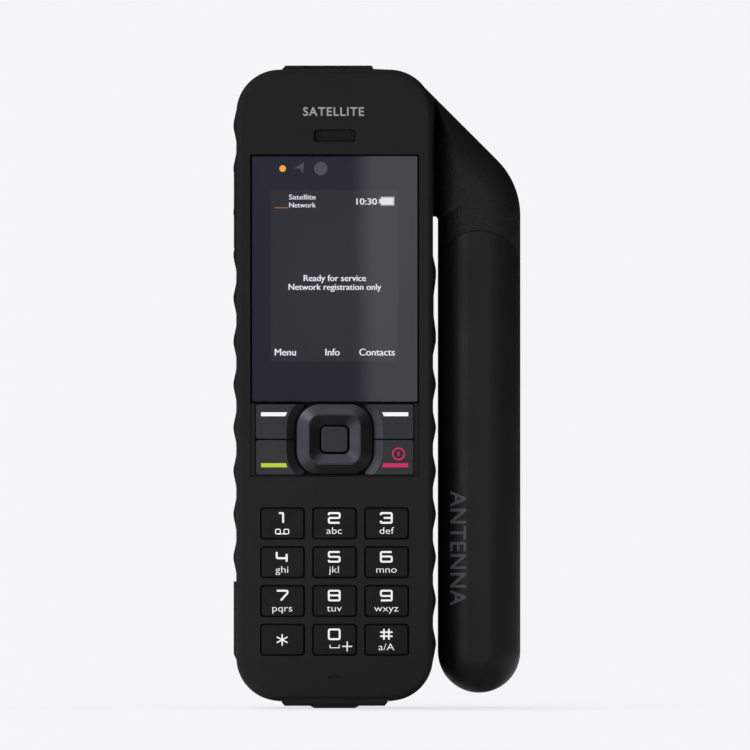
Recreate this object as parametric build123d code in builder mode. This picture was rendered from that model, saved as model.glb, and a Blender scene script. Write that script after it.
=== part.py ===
from build123d import *
import math
import os

# Satellite phone handset with a fold-down side antenna.
# Frame: +X to the right, +Z up, the front face looks along -Y.  The origin is the
# centre of the rear rest face (the flat of the battery cover), at mid height.
# Depths are written as d = -Y: d = 0 is the rear rest face, d grows to the front.
# Names: _D depth, _HW half width, _R radius, _T thickness; sizes are (width, height).

# ---------------------------------------------------------------- housing sizes
HALF_W = 25.8          # handset half width at the grip valleys
TOP_Z, TOP_SIDE_Z = 83.35, 82.25      # crowned top edge, centre and corner height
BOT_Z, BOT_SIDE_Z = -83.5, -80.6      # crowned bottom edge
CORNER_R = 11.4        # corner radius seen from the front
D_FRONT = 35.0         # front face
D_REAR = 4.0           # rear face of the housing, under the battery cover
D_PART = 22.0          # parting plane of the two housings
FRONT_R = 1.5          # rounding of the front face edge
REAR_R = 3.0           # rounding of the rear edge
WALL = 2.4             # side wall
FACE_T = 2.0           # front and rear wall
D_FRONT_IN = D_FRONT - FACE_T
D_REAR_IN = D_REAR + FACE_T
THROUGH_FRONT = -FACE_T - 0.5         # cut from the front face through its wall
CAV_TOP, CAV_BOT = 79.0, -78.8        # ends of the inner cavity

# seal between the housings
SEAL_INSET, SEAL_W = 1.25, 0.75
SEAL_TOP, SEAL_BOT = 80.6, -80.4
SEAL_T = 1.6
SEAL_GAP = 0.05        # room around the seal in its groove

SCREW_XZ = ((-19.5, 74.0), (12.4, 74.6), (-20.1, 29.5), (20.1, 29.5), (-17.6, -75.6), (17.6, -75.6))
SCREW_HEAD_D = 12.0    # rear end of the housing screws

# ---------------------------------------------------------------- front face sizes
# window and display
WIN_W, WIN_TOP, WIN_BOT = 44.3, 60.75, -4.5
GLASS_GAP = 0.45
GLASS_W = WIN_W - 2 * GLASS_GAP
GLASS_TOP, GLASS_BOT = WIN_TOP - GLASS_GAP, WIN_BOT + GLASS_GAP
POCKET_T = 1.3
GLASS_D0, GLASS_D1 = 33.75, 34.9
DISPLAY_XZ = (0, 28.95)               # centre of the display opening
ICON_XZ = (-8.4, 57.0)                # centre of the status icon slot
EAR_XZ = (0, 66.0)                    # centre of the earpiece
MIC_XZ = (0, -76.3)

# navigation cluster
NAV_XZ = (0, -13.97)
NAV_Z = NAV_XZ[1]
NAV_HALF_W, NAV_TOP, NAV_BOT = 20.9, WIN_BOT, -23.4
PANEL_BOT = -23.75
NKEY_IN, NKEY_OUT = 8.1, 20.62        # x range of the keys beside the ring
NKEY_GAP = 0.25                       # from these keys to the top and bottom of the opening
NKEY_SPLIT = 0.42                     # between the upper and lower keys
NKEY_MID = (NAV_TOP + NAV_BOT) / 2
NKEY_FLANGE_OUT, NKEY_FLANGE_RISE = 21.5, 0.65
# rounded rectangles about the navigation centre: width, height, corner radius
RING = (19.8, 18.5, 6.2)
CREST = (13.8, 13.3, 3.2)
RING_HOLE = (7.9, 7.7, 1.7)
SELECT = (7.1, 6.9, 1.3)
SELECT_FLANGE = (8.9, 8.7, 1.8)
CARRIER = (17.6, 16.6, 4.0)
CARRIER_HOLE = (9.9, 9.7, 2.0)

# keypad
KEY_W, KEY_H, KEY_R = 11.1, 7.8, 0.8
KEY_GAP = 0.35
KEY_PITCH_X = 13.65
KEY_ROWS = (-35.95, -46.15, -56.3, -66.45)
D_FLANGE0, D_FLANGE1 = 31.9, 32.45    # retaining flanges under the front wall
KEY_NAMES = (
    ("key_1", "key_2", "key_3"),
    ("key_4", "key_5", "key_6"),
    ("key_7", "key_8", "key_9"),
    ("key_star", "key_0", "key_hash"),
)
KEY_XZ = [(column * KEY_PITCH_X, z) for z in KEY_ROWS for column in (-1, 0, 1)]
# contact points under the four keys beside the ring, and under the ring itself
NAV_PLUNGERS = ((-15.2, -9.2), (15.2, -9.2), (-15.2, -18.8), (15.2, -18.8))
DIR_XZ = [(-7.0, NAV_Z), (7.0, NAV_Z), (0.0, NAV_Z - 7.2), (0.0, NAV_Z + 7.2)]
CONTACT_XZ = [*KEY_XZ, *NAV_PLUNGERS, *DIR_XZ, NAV_XZ]

# ---------------------------------------------------------------- side and end sizes
# side grips, each given as (top, bottom)
GRIP_IN = 24.9         # floor of the grip pocket
GRIP_A = 0.78          # wave height
GRIP_PITCH = 11.32
GRIP_PEAK0 = 0.42      # height of one crest
GRIP_FLANK = 4.2       # crest to the foot of the wave
GRIP_SHARP = 0.11      # extra height of the crest before it is rounded
GRIP_D0, GRIP_D1 = 8.0, 29.0
LEFT_GRIP = (72.3, -51.2)
RIGHT_GRIP = (7.0, -72.2)

# side keys
TRACK_TOP, TRACK_BOT, TRACK_D0, TRACK_D1 = 58.1, 35.9, 8.9, 20.7
TRACK_Z = (TRACK_TOP + TRACK_BOT) / 2
TRACK_H, TRACK_W = TRACK_TOP - TRACK_BOT, TRACK_D1 - TRACK_D0
ROCK_TOP, ROCK_BOT, ROCK_D0, ROCK_D1 = 34.6, 7.75, 8.6, 20.6
ROCK_Z = (ROCK_TOP + ROCK_BOT) / 2
ROCK_W = ROCK_D1 - ROCK_D0
SIDE_KEY_GAP = 0.3     # room around the side keys

# side port cover and the sockets behind it; _YZ points lie on a plane across X
PORT_TOP, PORT_BOT = -51.35, -71.6
PORT_AXIS_X, PORT_AXIS_D, PORT_R = -25.73, 8.9, 0.77
PORT_D1 = 28.9
JACK_D = 18.3
JACK_YZ, SOCK_YZ = (-JACK_D, -57.0), (-JACK_D, -66.5)
SOCKET_HOLE_R = 2.6
SOCKET_MOUTH_R = 2.5
SOCKET_X = -24.85      # outer end of both sockets

# bottom connector cover
USB_HW, USB_Z, USB_D1 = 14.1, -81.4, 34.3
USB_AXIS_D, USB_AXIS_Z, USB_R = 10.4, -82.15, 0.68
USB_AXIS_YZ = (-USB_AXIS_D, USB_AXIS_Z)
USB_LOW = -83.8

# emergency key and its cover
SOS_X0, SOS_X1, SOS_Z, SOS_D1 = -14.1, 10.5, 81.6, 29.0
SOS_W = SOS_X1 - SOS_X0
SOS_AXIS_D, SOS_AXIS_Z, SOS_R = 9.9, 82.4, 0.72
SOS_AXIS_YZ = (-SOS_AXIS_D, SOS_AXIS_Z)
SOS_HIGH = 84.12
SOS_XY = (-1.8, -15.9)                # axis of the emergency key

# hinge pins of both end covers
PIN_R, PIN_HOLE_R = 0.33, 0.38
PIN_REACH, PIN_HOLE_REACH = 0.85, 0.95   # beyond the sides of the recess
COVER_GAP = 0.12                      # between cover and recess at each side
COVER_EDGE_R = 0.9                    # outer edges of both covers

# ---------------------------------------------------------------- antenna sizes
HINGE_D, HINGE_Z = 13.5, 61.0
HINGE_YZ = (-HINGE_D, HINGE_Z)
SEAT_X = 26.27         # outer face of the fixed hub
HUB_X0 = 14.0          # inner end of the fixed hub
ARM_X = 26.3           # seat face of the antenna arm
HEAD_TOP, HEAD_BOT = 77.4, 44.6
HEAD_X0, HEAD_Z0 = 8, 20              # inner and lower ends of the head block
HUB_TOP = 78.5         # the hub runs up to where the diagonal meets the shoulder
ROD_X, ROD_R = 37.93, 10.83
ROD_IN, ROD_OUT = ROD_X - ROD_R, ROD_X + ROD_R
ROD_XY = (ROD_X, -HINGE_D)
ROD_BOT = -69.7
ANT_T = 26.6           # antenna depth
ANT_FILLET = 8.0
DIAG_X = 24.7          # the 45 degree shoulder passes here at HEAD_TOP
DIAG_Z = HEAD_TOP - (ROD_OUT - DIAG_X)
DIAG_R = 20.5          # rounding below the shoulder
SEAT_CORNER = 4.0
ARM_ROUND_FRONT, ARM_ROUND_REAR = 6.8, 3.0
ARC_Z, ARC_R = 29.5, 11.3   # parting arc between arm and radome, seen from the front
ARC_GAP = 0.03
PARTING_CHAMFER = 0.12
SHAFT_R, SHAFT_BORE = 4.45, 2.2
BUSH_R, BUSH_BORE = 5.6, 4.5
CABLE_WAY_R = 1.6
D_ANT0 = HINGE_D - ANT_T / 2

# ---------------------------------------------------------------- battery bay sizes
BAY_HW, BAY_TOP, BAY_BOT, BAY_FLOOR = 20.6, 10.2, -60.2, 14.4
BAY_W, BAY_H = 2 * BAY_HW, BAY_TOP - BAY_BOT
BAY_XZ = (0, (BAY_TOP + BAY_BOT) / 2)
BAY_CORNER = 1.5
BAY_WALL = 1.2
COVER_HW, COVER_TOP, COVER_BOT = 22.6, 13.0, -68.0
COVER_SCREW_XZ = (0, -64.3)
NIB_XZ = ((-14, 12.1), (14, 12.1))
CONTACT_PADS = [(x, 5.5) for x in (-6.0, -2.0, 2.0, 6.0)]

SIM_W, SIM_T, SIM_X = 17.2, 1.7, 0.45 # flap of the card holder
SIM_AXIS_X, SIM_AXIS_D = SIM_X - SIM_W / 2, BAY_FLOOR
SIM_TOP, SIM_BOT = -11.0, -38.0
SIM_H, SIM_Z = SIM_TOP - SIM_BOT, (SIM_TOP + SIM_BOT) / 2
CARD_X = 0.75

MOTOR_YZ = (-10.5, -73.0)
SPEAKER_XZ = (-6, 69.0)

os.makedirs("parts", exist_ok=True)


# ---------------------------------------------------------------- helpers
def keep(solid, name):
    """Labels one finished piece and writes it."""
    solid.label = name
    export_step(solid, f"parts/{name}.step")


def at_d(d):
    """Plane at depth d, seen from the front: points are (x, z)."""
    return Plane.XZ.offset(d)


def at_x(x):
    """Plane across X: points are (y, z) = (-d, z)."""
    return Plane.YZ.offset(x)


def at_z(z):
    """Plane across Z: points are (x, y) = (x, -d)."""
    return Plane.XY.offset(z)


# These two act on the BuildPart block that calls them.
def disc(plane, length, radius, *centres, cut=False):
    """Adds or cuts cylinders that start on plane, one per centre."""
    with BuildSketch(plane) as section:
        with Locations(*centres):
            Circle(radius)
    extrude(section.sketch, amount=length, mode=Mode.SUBTRACT if cut else Mode.ADD)


def slab(plane, length, size, *centres, corner=0, cut=False):
    """Adds or cuts rectangular blocks that start on plane, one per centre."""
    with BuildSketch(plane) as section:
        with Locations(*centres):
            if corner:
                RectangleRounded(*size, corner)
            else:
                Rectangle(*size)
    extrude(section.sketch, amount=length, mode=Mode.SUBTRACT if cut else Mode.ADD)


def nav_shape(shape, margin=0.0, mode=Mode.ADD):
    """Draws a (width, height, corner) shape on the navigation centre, grown by margin."""
    width, height, corner = shape
    with Locations(NAV_XZ):
        RectangleRounded(width + 2 * margin, height + 2 * margin, corner + margin, mode=mode)


# ---------------------------------------------------------------- shared profiles
# handset outline, seen from the front
with BuildSketch() as outline:
    with BuildLine():
        ThreePointArc((-HALF_W, TOP_SIDE_Z), (0, TOP_Z), (HALF_W, TOP_SIDE_Z))
        Line((HALF_W, TOP_SIDE_Z), (HALF_W, BOT_SIDE_Z))
        ThreePointArc((HALF_W, BOT_SIDE_Z), (0, BOT_Z), (-HALF_W, BOT_SIDE_Z))
        Line((-HALF_W, BOT_SIDE_Z), (-HALF_W, TOP_SIDE_Z))
    make_face()
    fillet(outline.vertices(), CORNER_R)


def inset_outline(inset, top, bottom):
    """Handset outline moved in by inset and cut flat at top and bottom."""
    with BuildSketch() as profile:
        add(outline.sketch)
        offset(amount=-inset, mode=Mode.REPLACE)
        with Locations((0, (top + bottom) / 2)):
            Rectangle(2 * HALF_W, top - bottom, mode=Mode.INTERSECT)
    return profile.sketch


def seal_ring(grow):
    """Seal outline between the cavity and the outside, grown by grow on every side."""
    outer = inset_outline(SEAL_INSET - grow, SEAL_TOP + grow, SEAL_BOT - grow)
    inner_grow = SEAL_W + grow
    inner = inset_outline(SEAL_INSET + inner_grow, SEAL_TOP - inner_grow, SEAL_BOT + inner_grow)
    with BuildSketch() as ring:
        add(outer)
        add(inner, mode=Mode.SUBTRACT)
    return ring.sketch


inner_outline = inset_outline(WALL, CAV_TOP, CAV_BOT)
seal_groove = seal_ring(SEAL_GAP)
seal_shape = seal_ring(0.0)


def wave_profile(side, z_top, z_bot, floor):
    """Corner points of a wavy rail: flat inside at floor, crests GRIP_A high outside."""
    end_margin = 0.9   # no wave point lies closer than this to an end
    crest_index = math.floor((z_bot - GRIP_PEAK0) / GRIP_PITCH) - 1
    wave = []
    while GRIP_PEAK0 + crest_index * GRIP_PITCH < z_top + 2 * GRIP_PITCH:
        peak = GRIP_PEAK0 + crest_index * GRIP_PITCH
        wave += [
            (peak - GRIP_FLANK, HALF_W),
            (peak, HALF_W + GRIP_A + GRIP_SHARP),
            (peak + GRIP_FLANK, HALF_W),
        ]
        crest_index += 1

    def height(z):
        for (z0, x0), (z1, x1) in zip(wave, wave[1:]):
            if z0 <= z <= z1:
                return x0 + (x1 - x0) * (z - z0) / (z1 - z0)
        return HALF_W

    inside = [(z, x) for z, x in wave if z_bot + end_margin < z < z_top - end_margin]
    run = [(z_bot, height(z_bot))] + inside + [(z_top, height(z_top))]
    return [(side * floor, z_bot)] + [(side * x, z) for z, x in run] + [(side * floor, z_top)]


# ---------------------------------------------------------------- shared cutters
left_pocket = (LEFT_GRIP[0], PORT_BOT - 0.15)    # holds the grip and the port cover
pocket_w = 4
with BuildPart() as side_cuts:
    for side, (top, bottom) in ((-1, left_pocket), (1, RIGHT_GRIP)):
        slab(
            at_d(GRIP_D0 - 0.05), GRIP_D1 - GRIP_D0 + 0.1, (pocket_w, top - bottom),
            (side * (GRIP_IN + pocket_w / 2), (top + bottom) / 2),
        )
    # openings of the tracking key and the volume rocker
    slab(
        at_d(TRACK_D0 - SIDE_KEY_GAP), TRACK_W + 2 * SIDE_KEY_GAP,
        (6, TRACK_H + 2 * SIDE_KEY_GAP), (-24.5, TRACK_Z),
    )
    slab(
        at_d(ROCK_D0 - SIDE_KEY_GAP), ROCK_W + 2 * SIDE_KEY_GAP,
        (6, ROCK_TOP - ROCK_BOT + 0.7), (25.0, ROCK_Z),
    )
    # headset and antenna sockets
    disc(at_x(-27), 5, SOCKET_HOLE_R, JACK_YZ, SOCK_YZ)

recess_h = 10
with BuildPart() as end_cuts:
    # recess of the connector cover at the bottom, open to the front
    slab(at_d(USB_AXIS_D - 1.45), 40, (2 * USB_HW, recess_h), (0, USB_Z - recess_h / 2))
    # recess of the emergency key cover at the top
    slab(
        at_d(SOS_AXIS_D - 1.4), SOS_D1 - SOS_AXIS_D + 1.55,
        (SOS_W, recess_h), ((SOS_X0 + SOS_X1) / 2, SOS_Z + recess_h / 2),
    )
    # emergency key bore
    disc(at_z(76), 8, 4.7, SOS_XY)
    # pin holes of both covers
    disc(at_x(-USB_HW - PIN_HOLE_REACH), 2 * (USB_HW + PIN_HOLE_REACH), PIN_HOLE_R, USB_AXIS_YZ)
    disc(at_x(SOS_X0 - PIN_HOLE_REACH), SOS_W + 2 * PIN_HOLE_REACH, PIN_HOLE_R, SOS_AXIS_YZ)
    # connector mouth
    slab(at_d(23.9), 3.4, (9.4, 8), (0, -81))

with BuildPart() as seal_cut:
    with BuildSketch(at_d(D_PART - SEAL_T / 2 - SEAL_GAP)):
        add(seal_groove)
    extrude(amount=SEAL_T + 2 * SEAL_GAP)

# antenna head: one rounded block, cut at the hinge seat into hub and arm
with BuildPart() as head_block:
    with BuildSketch(at_d(D_ANT0)) as head_face:
        with BuildLine():
            Polyline(
                (HEAD_X0, HEAD_Z0), (HEAD_X0, HUB_TOP), (DIAG_X - HUB_TOP + HEAD_TOP, HUB_TOP),
                (ROD_OUT, DIAG_Z), (ROD_OUT, HEAD_Z0), close=True,
            )
        make_face()
        fillet([v for v in head_face.vertices() if abs(v.Y - DIAG_Z) < 0.01], DIAG_R)
    extrude(amount=ANT_T)
    # front and rear edges, without those at the inner and lower ends
    rim = [
        e
        for e in head_block.faces().filter_by(Axis.Y).edges()
        if e.center().X > HEAD_X0 + 0.5 and e.center().Z > HEAD_Z0 + 0.5
    ]
    fillet(rim, ANT_FILLET)

with BuildPart() as hub_block:
    slab(
        at_x(HUB_X0), SEAT_X - HUB_X0, (ANT_T, HUB_TOP - HEAD_BOT),
        (-HINGE_D, (HUB_TOP + HEAD_BOT) / 2), corner=SEAT_CORNER,
    )
    add(head_block.part, mode=Mode.INTERSECT)

# ---------------------------------------------------------------- front housing
half_space = (120, 220)    # larger than the handset and its hub
boss_gap = 0.6             # between the front bosses and the parting plane
dish_depth, dish_taper = 0.7, 30

with BuildPart() as front_housing:
    with BuildSketch(at_d(D_PART)):
        add(outline.sketch)
    extrude(amount=D_FRONT - D_PART)
    fillet(front_housing.faces().sort_by(Axis.Y)[0].edges(), FRONT_R)
    # front part of the hinge hub on the right shoulder
    add(hub_block.part)
    slab(at_d(D_PART), -40, half_space, (0, 0), cut=True)
    # inside
    with BuildSketch(at_d(D_PART)):
        add(inner_outline)
    extrude(amount=D_FRONT_IN - D_PART, mode=Mode.SUBTRACT)
    # window pocket and the opening behind it
    slab(
        at_d(D_FRONT), -POCKET_T, (WIN_W, WIN_TOP - WIN_BOT),
        (0, (WIN_TOP + WIN_BOT) / 2), corner=0.5, cut=True,
    )
    with BuildSketch(at_d(D_FRONT)):
        with Locations(DISPLAY_XZ):
            RectangleRounded(36.0, 47.6, 0.8)
        with Locations(ICON_XZ):
            SlotOverall(16.0, 3.6)
    extrude(amount=THROUGH_FRONT, mode=Mode.SUBTRACT)
    # shallow panel around the navigation keys, then their opening
    slab(
        at_d(D_FRONT), -0.25, (WIN_W, WIN_BOT - PANEL_BOT),
        (0, (WIN_BOT + PANEL_BOT) / 2), cut=True,
    )
    slab(
        at_d(D_FRONT), THROUGH_FRONT, (2 * NAV_HALF_W, NAV_TOP - NAV_BOT),
        (0, NKEY_MID), corner=0.4, cut=True,
    )
    # keypad holes
    slab(
        at_d(D_FRONT), THROUGH_FRONT, (KEY_W + 2 * KEY_GAP, KEY_H + 2 * KEY_GAP),
        *KEY_XZ, corner=KEY_R + 0.2, cut=True,
    )
    # earpiece: dished recess with a slot, microphone slot
    with BuildSketch(at_d(D_FRONT)):
        with Locations((0, 65.65)):
            RectangleRounded(11.0, 3.3, 0.7)
    extrude(amount=-dish_depth, taper=dish_taper, mode=Mode.SUBTRACT)
    with BuildSketch(at_d(D_FRONT)):
        with Locations(EAR_XZ):
            SlotOverall(9.1, 1.9)
        with Locations((0, -76.2)):
            SlotOverall(3.4, 0.9)
    extrude(amount=THROUGH_FRONT, mode=Mode.SUBTRACT)
    # screw bosses and their holes
    disc(at_d(D_PART + boss_gap), D_FRONT_IN - D_PART - boss_gap, 2.3, *SCREW_XZ)
    disc(at_d(D_PART), 8.5, 0.95, *SCREW_XZ, cut=True)
    add(side_cuts.part, mode=Mode.SUBTRACT)
    add(end_cuts.part, mode=Mode.SUBTRACT)
    add(seal_cut.part, mode=Mode.SUBTRACT)
keep(front_housing.part, "front_housing")

# ---------------------------------------------------------------- rear housing
embed = 0.2                # overlap of the towers with the rear wall
bay_wall_d = D_REAR + 0.5  # start of the bay walls, inside the rear wall
grille_z, grille_pitch = 64.2, 2.4

with BuildPart() as rear_housing:
    with BuildSketch(at_d(D_REAR)):
        add(outline.sketch)
    extrude(amount=D_PART - D_REAR)
    fillet(rear_housing.faces().sort_by(Axis.Y)[-1].edges(), REAR_R)
    # rear part of the hinge hub
    add(hub_block.part)
    slab(at_d(D_PART), 20, half_space, (0, 0), cut=True)
    # inside
    with BuildSketch(at_d(D_REAR_IN)):
        add(inner_outline)
    extrude(amount=30, mode=Mode.SUBTRACT)
    # battery bay: outer block, thicker floor under the card holder, hollow
    slab(
        at_d(bay_wall_d), BAY_FLOOR + BAY_WALL - bay_wall_d,
        (BAY_W + 2 * BAY_WALL, BAY_H + 2 * BAY_WALL), BAY_XZ,
    )
    slab(at_d(BAY_FLOOR + 0.5), 1.7, (21.0, SIM_H + 3.4), (0.0, SIM_Z))
    slab(at_d(-1), BAY_FLOOR + 1, (BAY_W, BAY_H), BAY_XZ, corner=BAY_CORNER, cut=True)
    # well of the card holder in the bay floor
    slab(at_d(BAY_FLOOR - 0.5), 1.45, (18.7, SIM_H + 0.8), (0.1, SIM_Z), cut=True)
    # slots of the battery contacts
    slab(at_d(BAY_FLOOR - 0.5), 3, (1.6, 4.4), *CONTACT_PADS, cut=True)
    # bearing boss of the antenna hinge
    disc(at_x(HUB_X0), 10.0, 7.6, HINGE_YZ)
    disc(at_x(HUB_X0 - 1), 15.0, BUSH_R, HINGE_YZ, cut=True)
    # screw towers with sunk heads
    disc(at_d(D_REAR_IN - embed), D_PART - D_REAR_IN + embed, 2.7, *SCREW_XZ)
    disc(at_d(0), 14.0, 2.0, *SCREW_XZ, cut=True)
    disc(at_d(0), 24.0, 1.1, *SCREW_XZ, cut=True)
    # boss of the battery cover screw
    disc(at_d(D_REAR_IN - embed), 8.2, 4.0, COVER_SCREW_XZ)
    disc(at_d(0), 12.2, 1.6, COVER_SCREW_XZ, cut=True)
    # slots for the cover nibs
    slab(at_d(D_REAR - 1), 2.7, (5.4, 1.1), *NIB_XZ, cut=True)
    # loudspeaker grille
    with BuildSketch(at_d(D_REAR - 1)):
        with Locations(*[(SPEAKER_XZ[0], grille_z + grille_pitch * k) for k in range(5)]):
            SlotOverall(13.0, 1.2)
    extrude(amount=4, mode=Mode.SUBTRACT)
    add(side_cuts.part, mode=Mode.SUBTRACT)
    add(end_cuts.part, mode=Mode.SUBTRACT)
    add(seal_cut.part, mode=Mode.SUBTRACT)
keep(rear_housing.part, "rear_housing")

with BuildPart() as housing_seal:
    with BuildSketch(at_d(D_PART - SEAL_T / 2)):
        add(seal_shape)
    extrude(amount=SEAL_T)
keep(housing_seal.part, "housing_seal")

# heads, shanks and hexagon sockets
with BuildPart() as housing_screws:
    disc(at_d(SCREW_HEAD_D), 1.95, 1.9, *SCREW_XZ)
    disc(at_d(SCREW_HEAD_D + 1.9), 14.0, 0.9, *SCREW_XZ)
    with BuildSketch(at_d(SCREW_HEAD_D)):
        with Locations(*SCREW_XZ):
            RegularPolygon(0.95, 6)
    extrude(amount=1.0, mode=Mode.SUBTRACT)
keep(housing_screws.part, "housing_screws")

# ---------------------------------------------------------------- side grips
crest_r, valley_r = 5.0, 6.0
end_clear = 0.5            # corners nearer to an end of the rail stay sharp

for side, (top, bottom), name in ((-1, LEFT_GRIP, "left_grip"), (1, RIGHT_GRIP, "right_grip")):
    with BuildPart() as grip:
        with BuildSketch(at_d(GRIP_D0)) as rail:
            with BuildLine():
                Polyline(*wave_profile(side, top, bottom, GRIP_IN + 0.02), close=True)
            make_face()
            crests = [
                v
                for v in rail.vertices()
                if abs(v.X) > HALF_W + 0.4 and bottom + end_clear < v.Y < top - end_clear
            ]
            fillet(crests, crest_r)
            valleys = [
                v
                for v in rail.vertices()
                if abs(abs(v.X) - HALF_W) < 0.001 and bottom + end_clear < v.Y < top - end_clear
            ]
            fillet(valleys, valley_r)
        extrude(amount=GRIP_D1 - GRIP_D0)
        if side < 0:
            # opening of the tracking key
            slab(
                at_d(TRACK_D0 - SIDE_KEY_GAP), TRACK_W + 2 * SIDE_KEY_GAP,
                (8, TRACK_H + 2 * SIDE_KEY_GAP), (-25, TRACK_Z), cut=True,
            )
    keep(grip.part, name)

# ---------------------------------------------------------------- window and display
with BuildPart() as display_window:
    slab(
        at_d(GLASS_D0), GLASS_D1 - GLASS_D0, (GLASS_W, GLASS_TOP - GLASS_BOT),
        (0, (GLASS_TOP + GLASS_BOT) / 2), corner=0.4,
    )
    chamfer(display_window.faces().sort_by(Axis.Y)[0].edges(), 0.12)
keep(display_window.part, "display_window")

module_d, module_t = 29.3, 3.0
raised_t = 1.1             # panel and light bar on the front of the module
tail_t = 0.85
with BuildPart() as display_module:
    slab(at_d(module_d), module_t, (35.1, 55.2), (0, 31.7), corner=0.8)
    # raised panel reaching up into the opening, and the light bar of the status icons
    slab(at_d(module_d + module_t), raised_t, (34.6, 46.2), DISPLAY_XZ)
    with BuildSketch(at_d(module_d + module_t)):
        with Locations(ICON_XZ):
            SlotOverall(15.2, 2.8)
    extrude(amount=raised_t)
    # flexible tail folded to the board
    slab(at_d(module_d - tail_t), tail_t, (16.0, 7.0), (0, 9.0))
keep(display_module.part, "display_module")

# ---------------------------------------------------------------- keypad keys
flange_t = D_FLANGE1 - D_FLANGE0
for row, z in zip(KEY_NAMES, KEY_ROWS):
    for column, name in zip((-1, 0, 1), row):
        key_xz = (column * KEY_PITCH_X, z)
        with BuildPart() as key:
            slab(at_d(D_FLANGE0), flange_t, (12.7, 9.3), key_xz)
            slab(at_d(D_FLANGE1), D_FRONT - 0.02 - D_FLANGE1, (KEY_W, KEY_H), key_xz, corner=KEY_R)
            fillet(key.faces().sort_by(Axis.Y)[0].edges(), 0.3)
        keep(key.part, name)

# keys around the ring; each inner edge follows the ring outline
ring_gap = 0.35            # from the ring to the keys
channel_d0, channel_d1 = 33.75, 34.9
channel_in, channel_out = 0.25, 3.1   # growth of the ring outline at those depths
for side_x, side_z, name in (
    (-1, 1, "soft_key_left"),
    (1, 1, "soft_key_right"),
    (-1, -1, "call_key"),
    (1, -1, "end_key"),
):
    # z of the edge beside the other row, of the far edge, and of the far flange edge
    near = NKEY_MID + side_z * NKEY_SPLIT / 2
    far = (NAV_TOP if side_z > 0 else NAV_BOT) - side_z * NKEY_GAP
    flange_far = far + side_z * NKEY_FLANGE_RISE
    with BuildPart() as key:
        with BuildSketch(at_d(D_FLANGE0)):
            with Locations((side_x * (NKEY_IN + NKEY_FLANGE_OUT) / 2, (flange_far + near) / 2)):
                Rectangle(NKEY_FLANGE_OUT - NKEY_IN, abs(flange_far - near))
            nav_shape(RING, ring_gap, mode=Mode.SUBTRACT)
        extrude(amount=flange_t)
        with BuildSketch(at_d(D_FLANGE1)) as cap:
            with Locations((side_x * (NKEY_IN + NKEY_OUT) / 2, (far + near) / 2)):
                Rectangle(NKEY_OUT - NKEY_IN, abs(far - near))
            fillet([v for v in cap.vertices() if abs(v.X) > NKEY_OUT - 0.1], 0.5)
            nav_shape(RING, ring_gap, mode=Mode.SUBTRACT)
        extrude(amount=D_FRONT - 0.25 - D_FLANGE1)
        # sculpted channel that falls towards the ring
        with BuildSketch(at_d(channel_d0)):
            nav_shape(RING, channel_in)
        with BuildSketch(at_d(channel_d1)):
            nav_shape(RING, channel_out)
        loft(mode=Mode.SUBTRACT)
    keep(key.part, name)

# navigation ring: straight base, raised crest, dish, bore, and two feet at the back
base_d, base_t = 32.55, 1.9
crest_d = 35.9
with BuildPart() as nav_ring:
    with BuildSketch(at_d(base_d)):
        nav_shape(RING)
    extrude(amount=base_t)
    with BuildSketch(at_d(base_d + base_t)):
        nav_shape(RING)
    with BuildSketch(at_d(crest_d)):
        nav_shape(CREST)
    loft()
    with BuildSketch(at_d(crest_d + 0.05)):
        nav_shape(CREST, -0.25)
    with BuildSketch(at_d(34.6)):
        nav_shape(RING_HOLE)
    loft(mode=Mode.SUBTRACT)
    with BuildSketch(at_d(32.0)):
        nav_shape(RING_HOLE)
    extrude(amount=4, mode=Mode.SUBTRACT)
    slab(at_d(31.65), 1.0, (1.0, 1.8), (0, NAV_Z - 7.4), (0, NAV_Z + 7.4))
keep(nav_ring.part, "nav_ring")

# plate under the ring with two feet at its rear
with BuildPart() as nav_carrier:
    with BuildSketch(at_d(31.0)):
        nav_shape(CARRIER)
        nav_shape(CARRIER_HOLE, mode=Mode.SUBTRACT)
    extrude(amount=0.6)
    slab(at_d(30.45), 0.6, (1.8, 1.0), (-6.9, NAV_Z), (6.9, NAV_Z))
keep(nav_carrier.part, "nav_carrier")

select_flange_t = 0.3
with BuildPart() as nav_select_key:
    with BuildSketch(at_d(D_FLANGE0)):
        nav_shape(SELECT_FLANGE)
    extrude(amount=select_flange_t)
    with BuildSketch(at_d(D_FLANGE0 + select_flange_t)):
        nav_shape(SELECT)
    extrude(amount=2.45)
    fillet(nav_select_key.faces().sort_by(Axis.Y)[0].edges(), 0.35)
keep(nav_select_key.part, "nav_select_key")

# ---------------------------------------------------------------- keypad mat, domes, board
mat_d = 29.6
plunger_d, plunger_t = 30.3, 1.05
with BuildPart() as keypad_mat:
    slab(at_d(mat_d), 0.75, (42.8, 68.2), (0, -37.7), corner=1.5)
    # plungers towards the keys
    slab(at_d(plunger_d), plunger_t, (7.0, 4.6), *KEY_XZ, corner=0.8)
    slab(at_d(plunger_d), plunger_t, (6.0, 4.4), *NAV_PLUNGERS, corner=0.8)
    slab(at_d(plunger_d), plunger_t, (4.6, 4.6), NAV_XZ)
    # studs towards the domes
    disc(at_d(mat_d - 0.35), 0.4, 1.2, *CONTACT_XZ)
keep(keypad_mat.part, "keypad_mat")

board_d, board_t = 27.3, 1.0
with BuildPart() as dome_switches:
    disc(at_d(board_d + board_t), 0.35, 2.3, *CONTACT_XZ)
    with BuildSketch(at_d(28.6)):
        with Locations(*CONTACT_XZ):
            Circle(1.8)
    extrude(amount=0.55, taper=25)
keep(dome_switches.part, "dome_switches")

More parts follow.
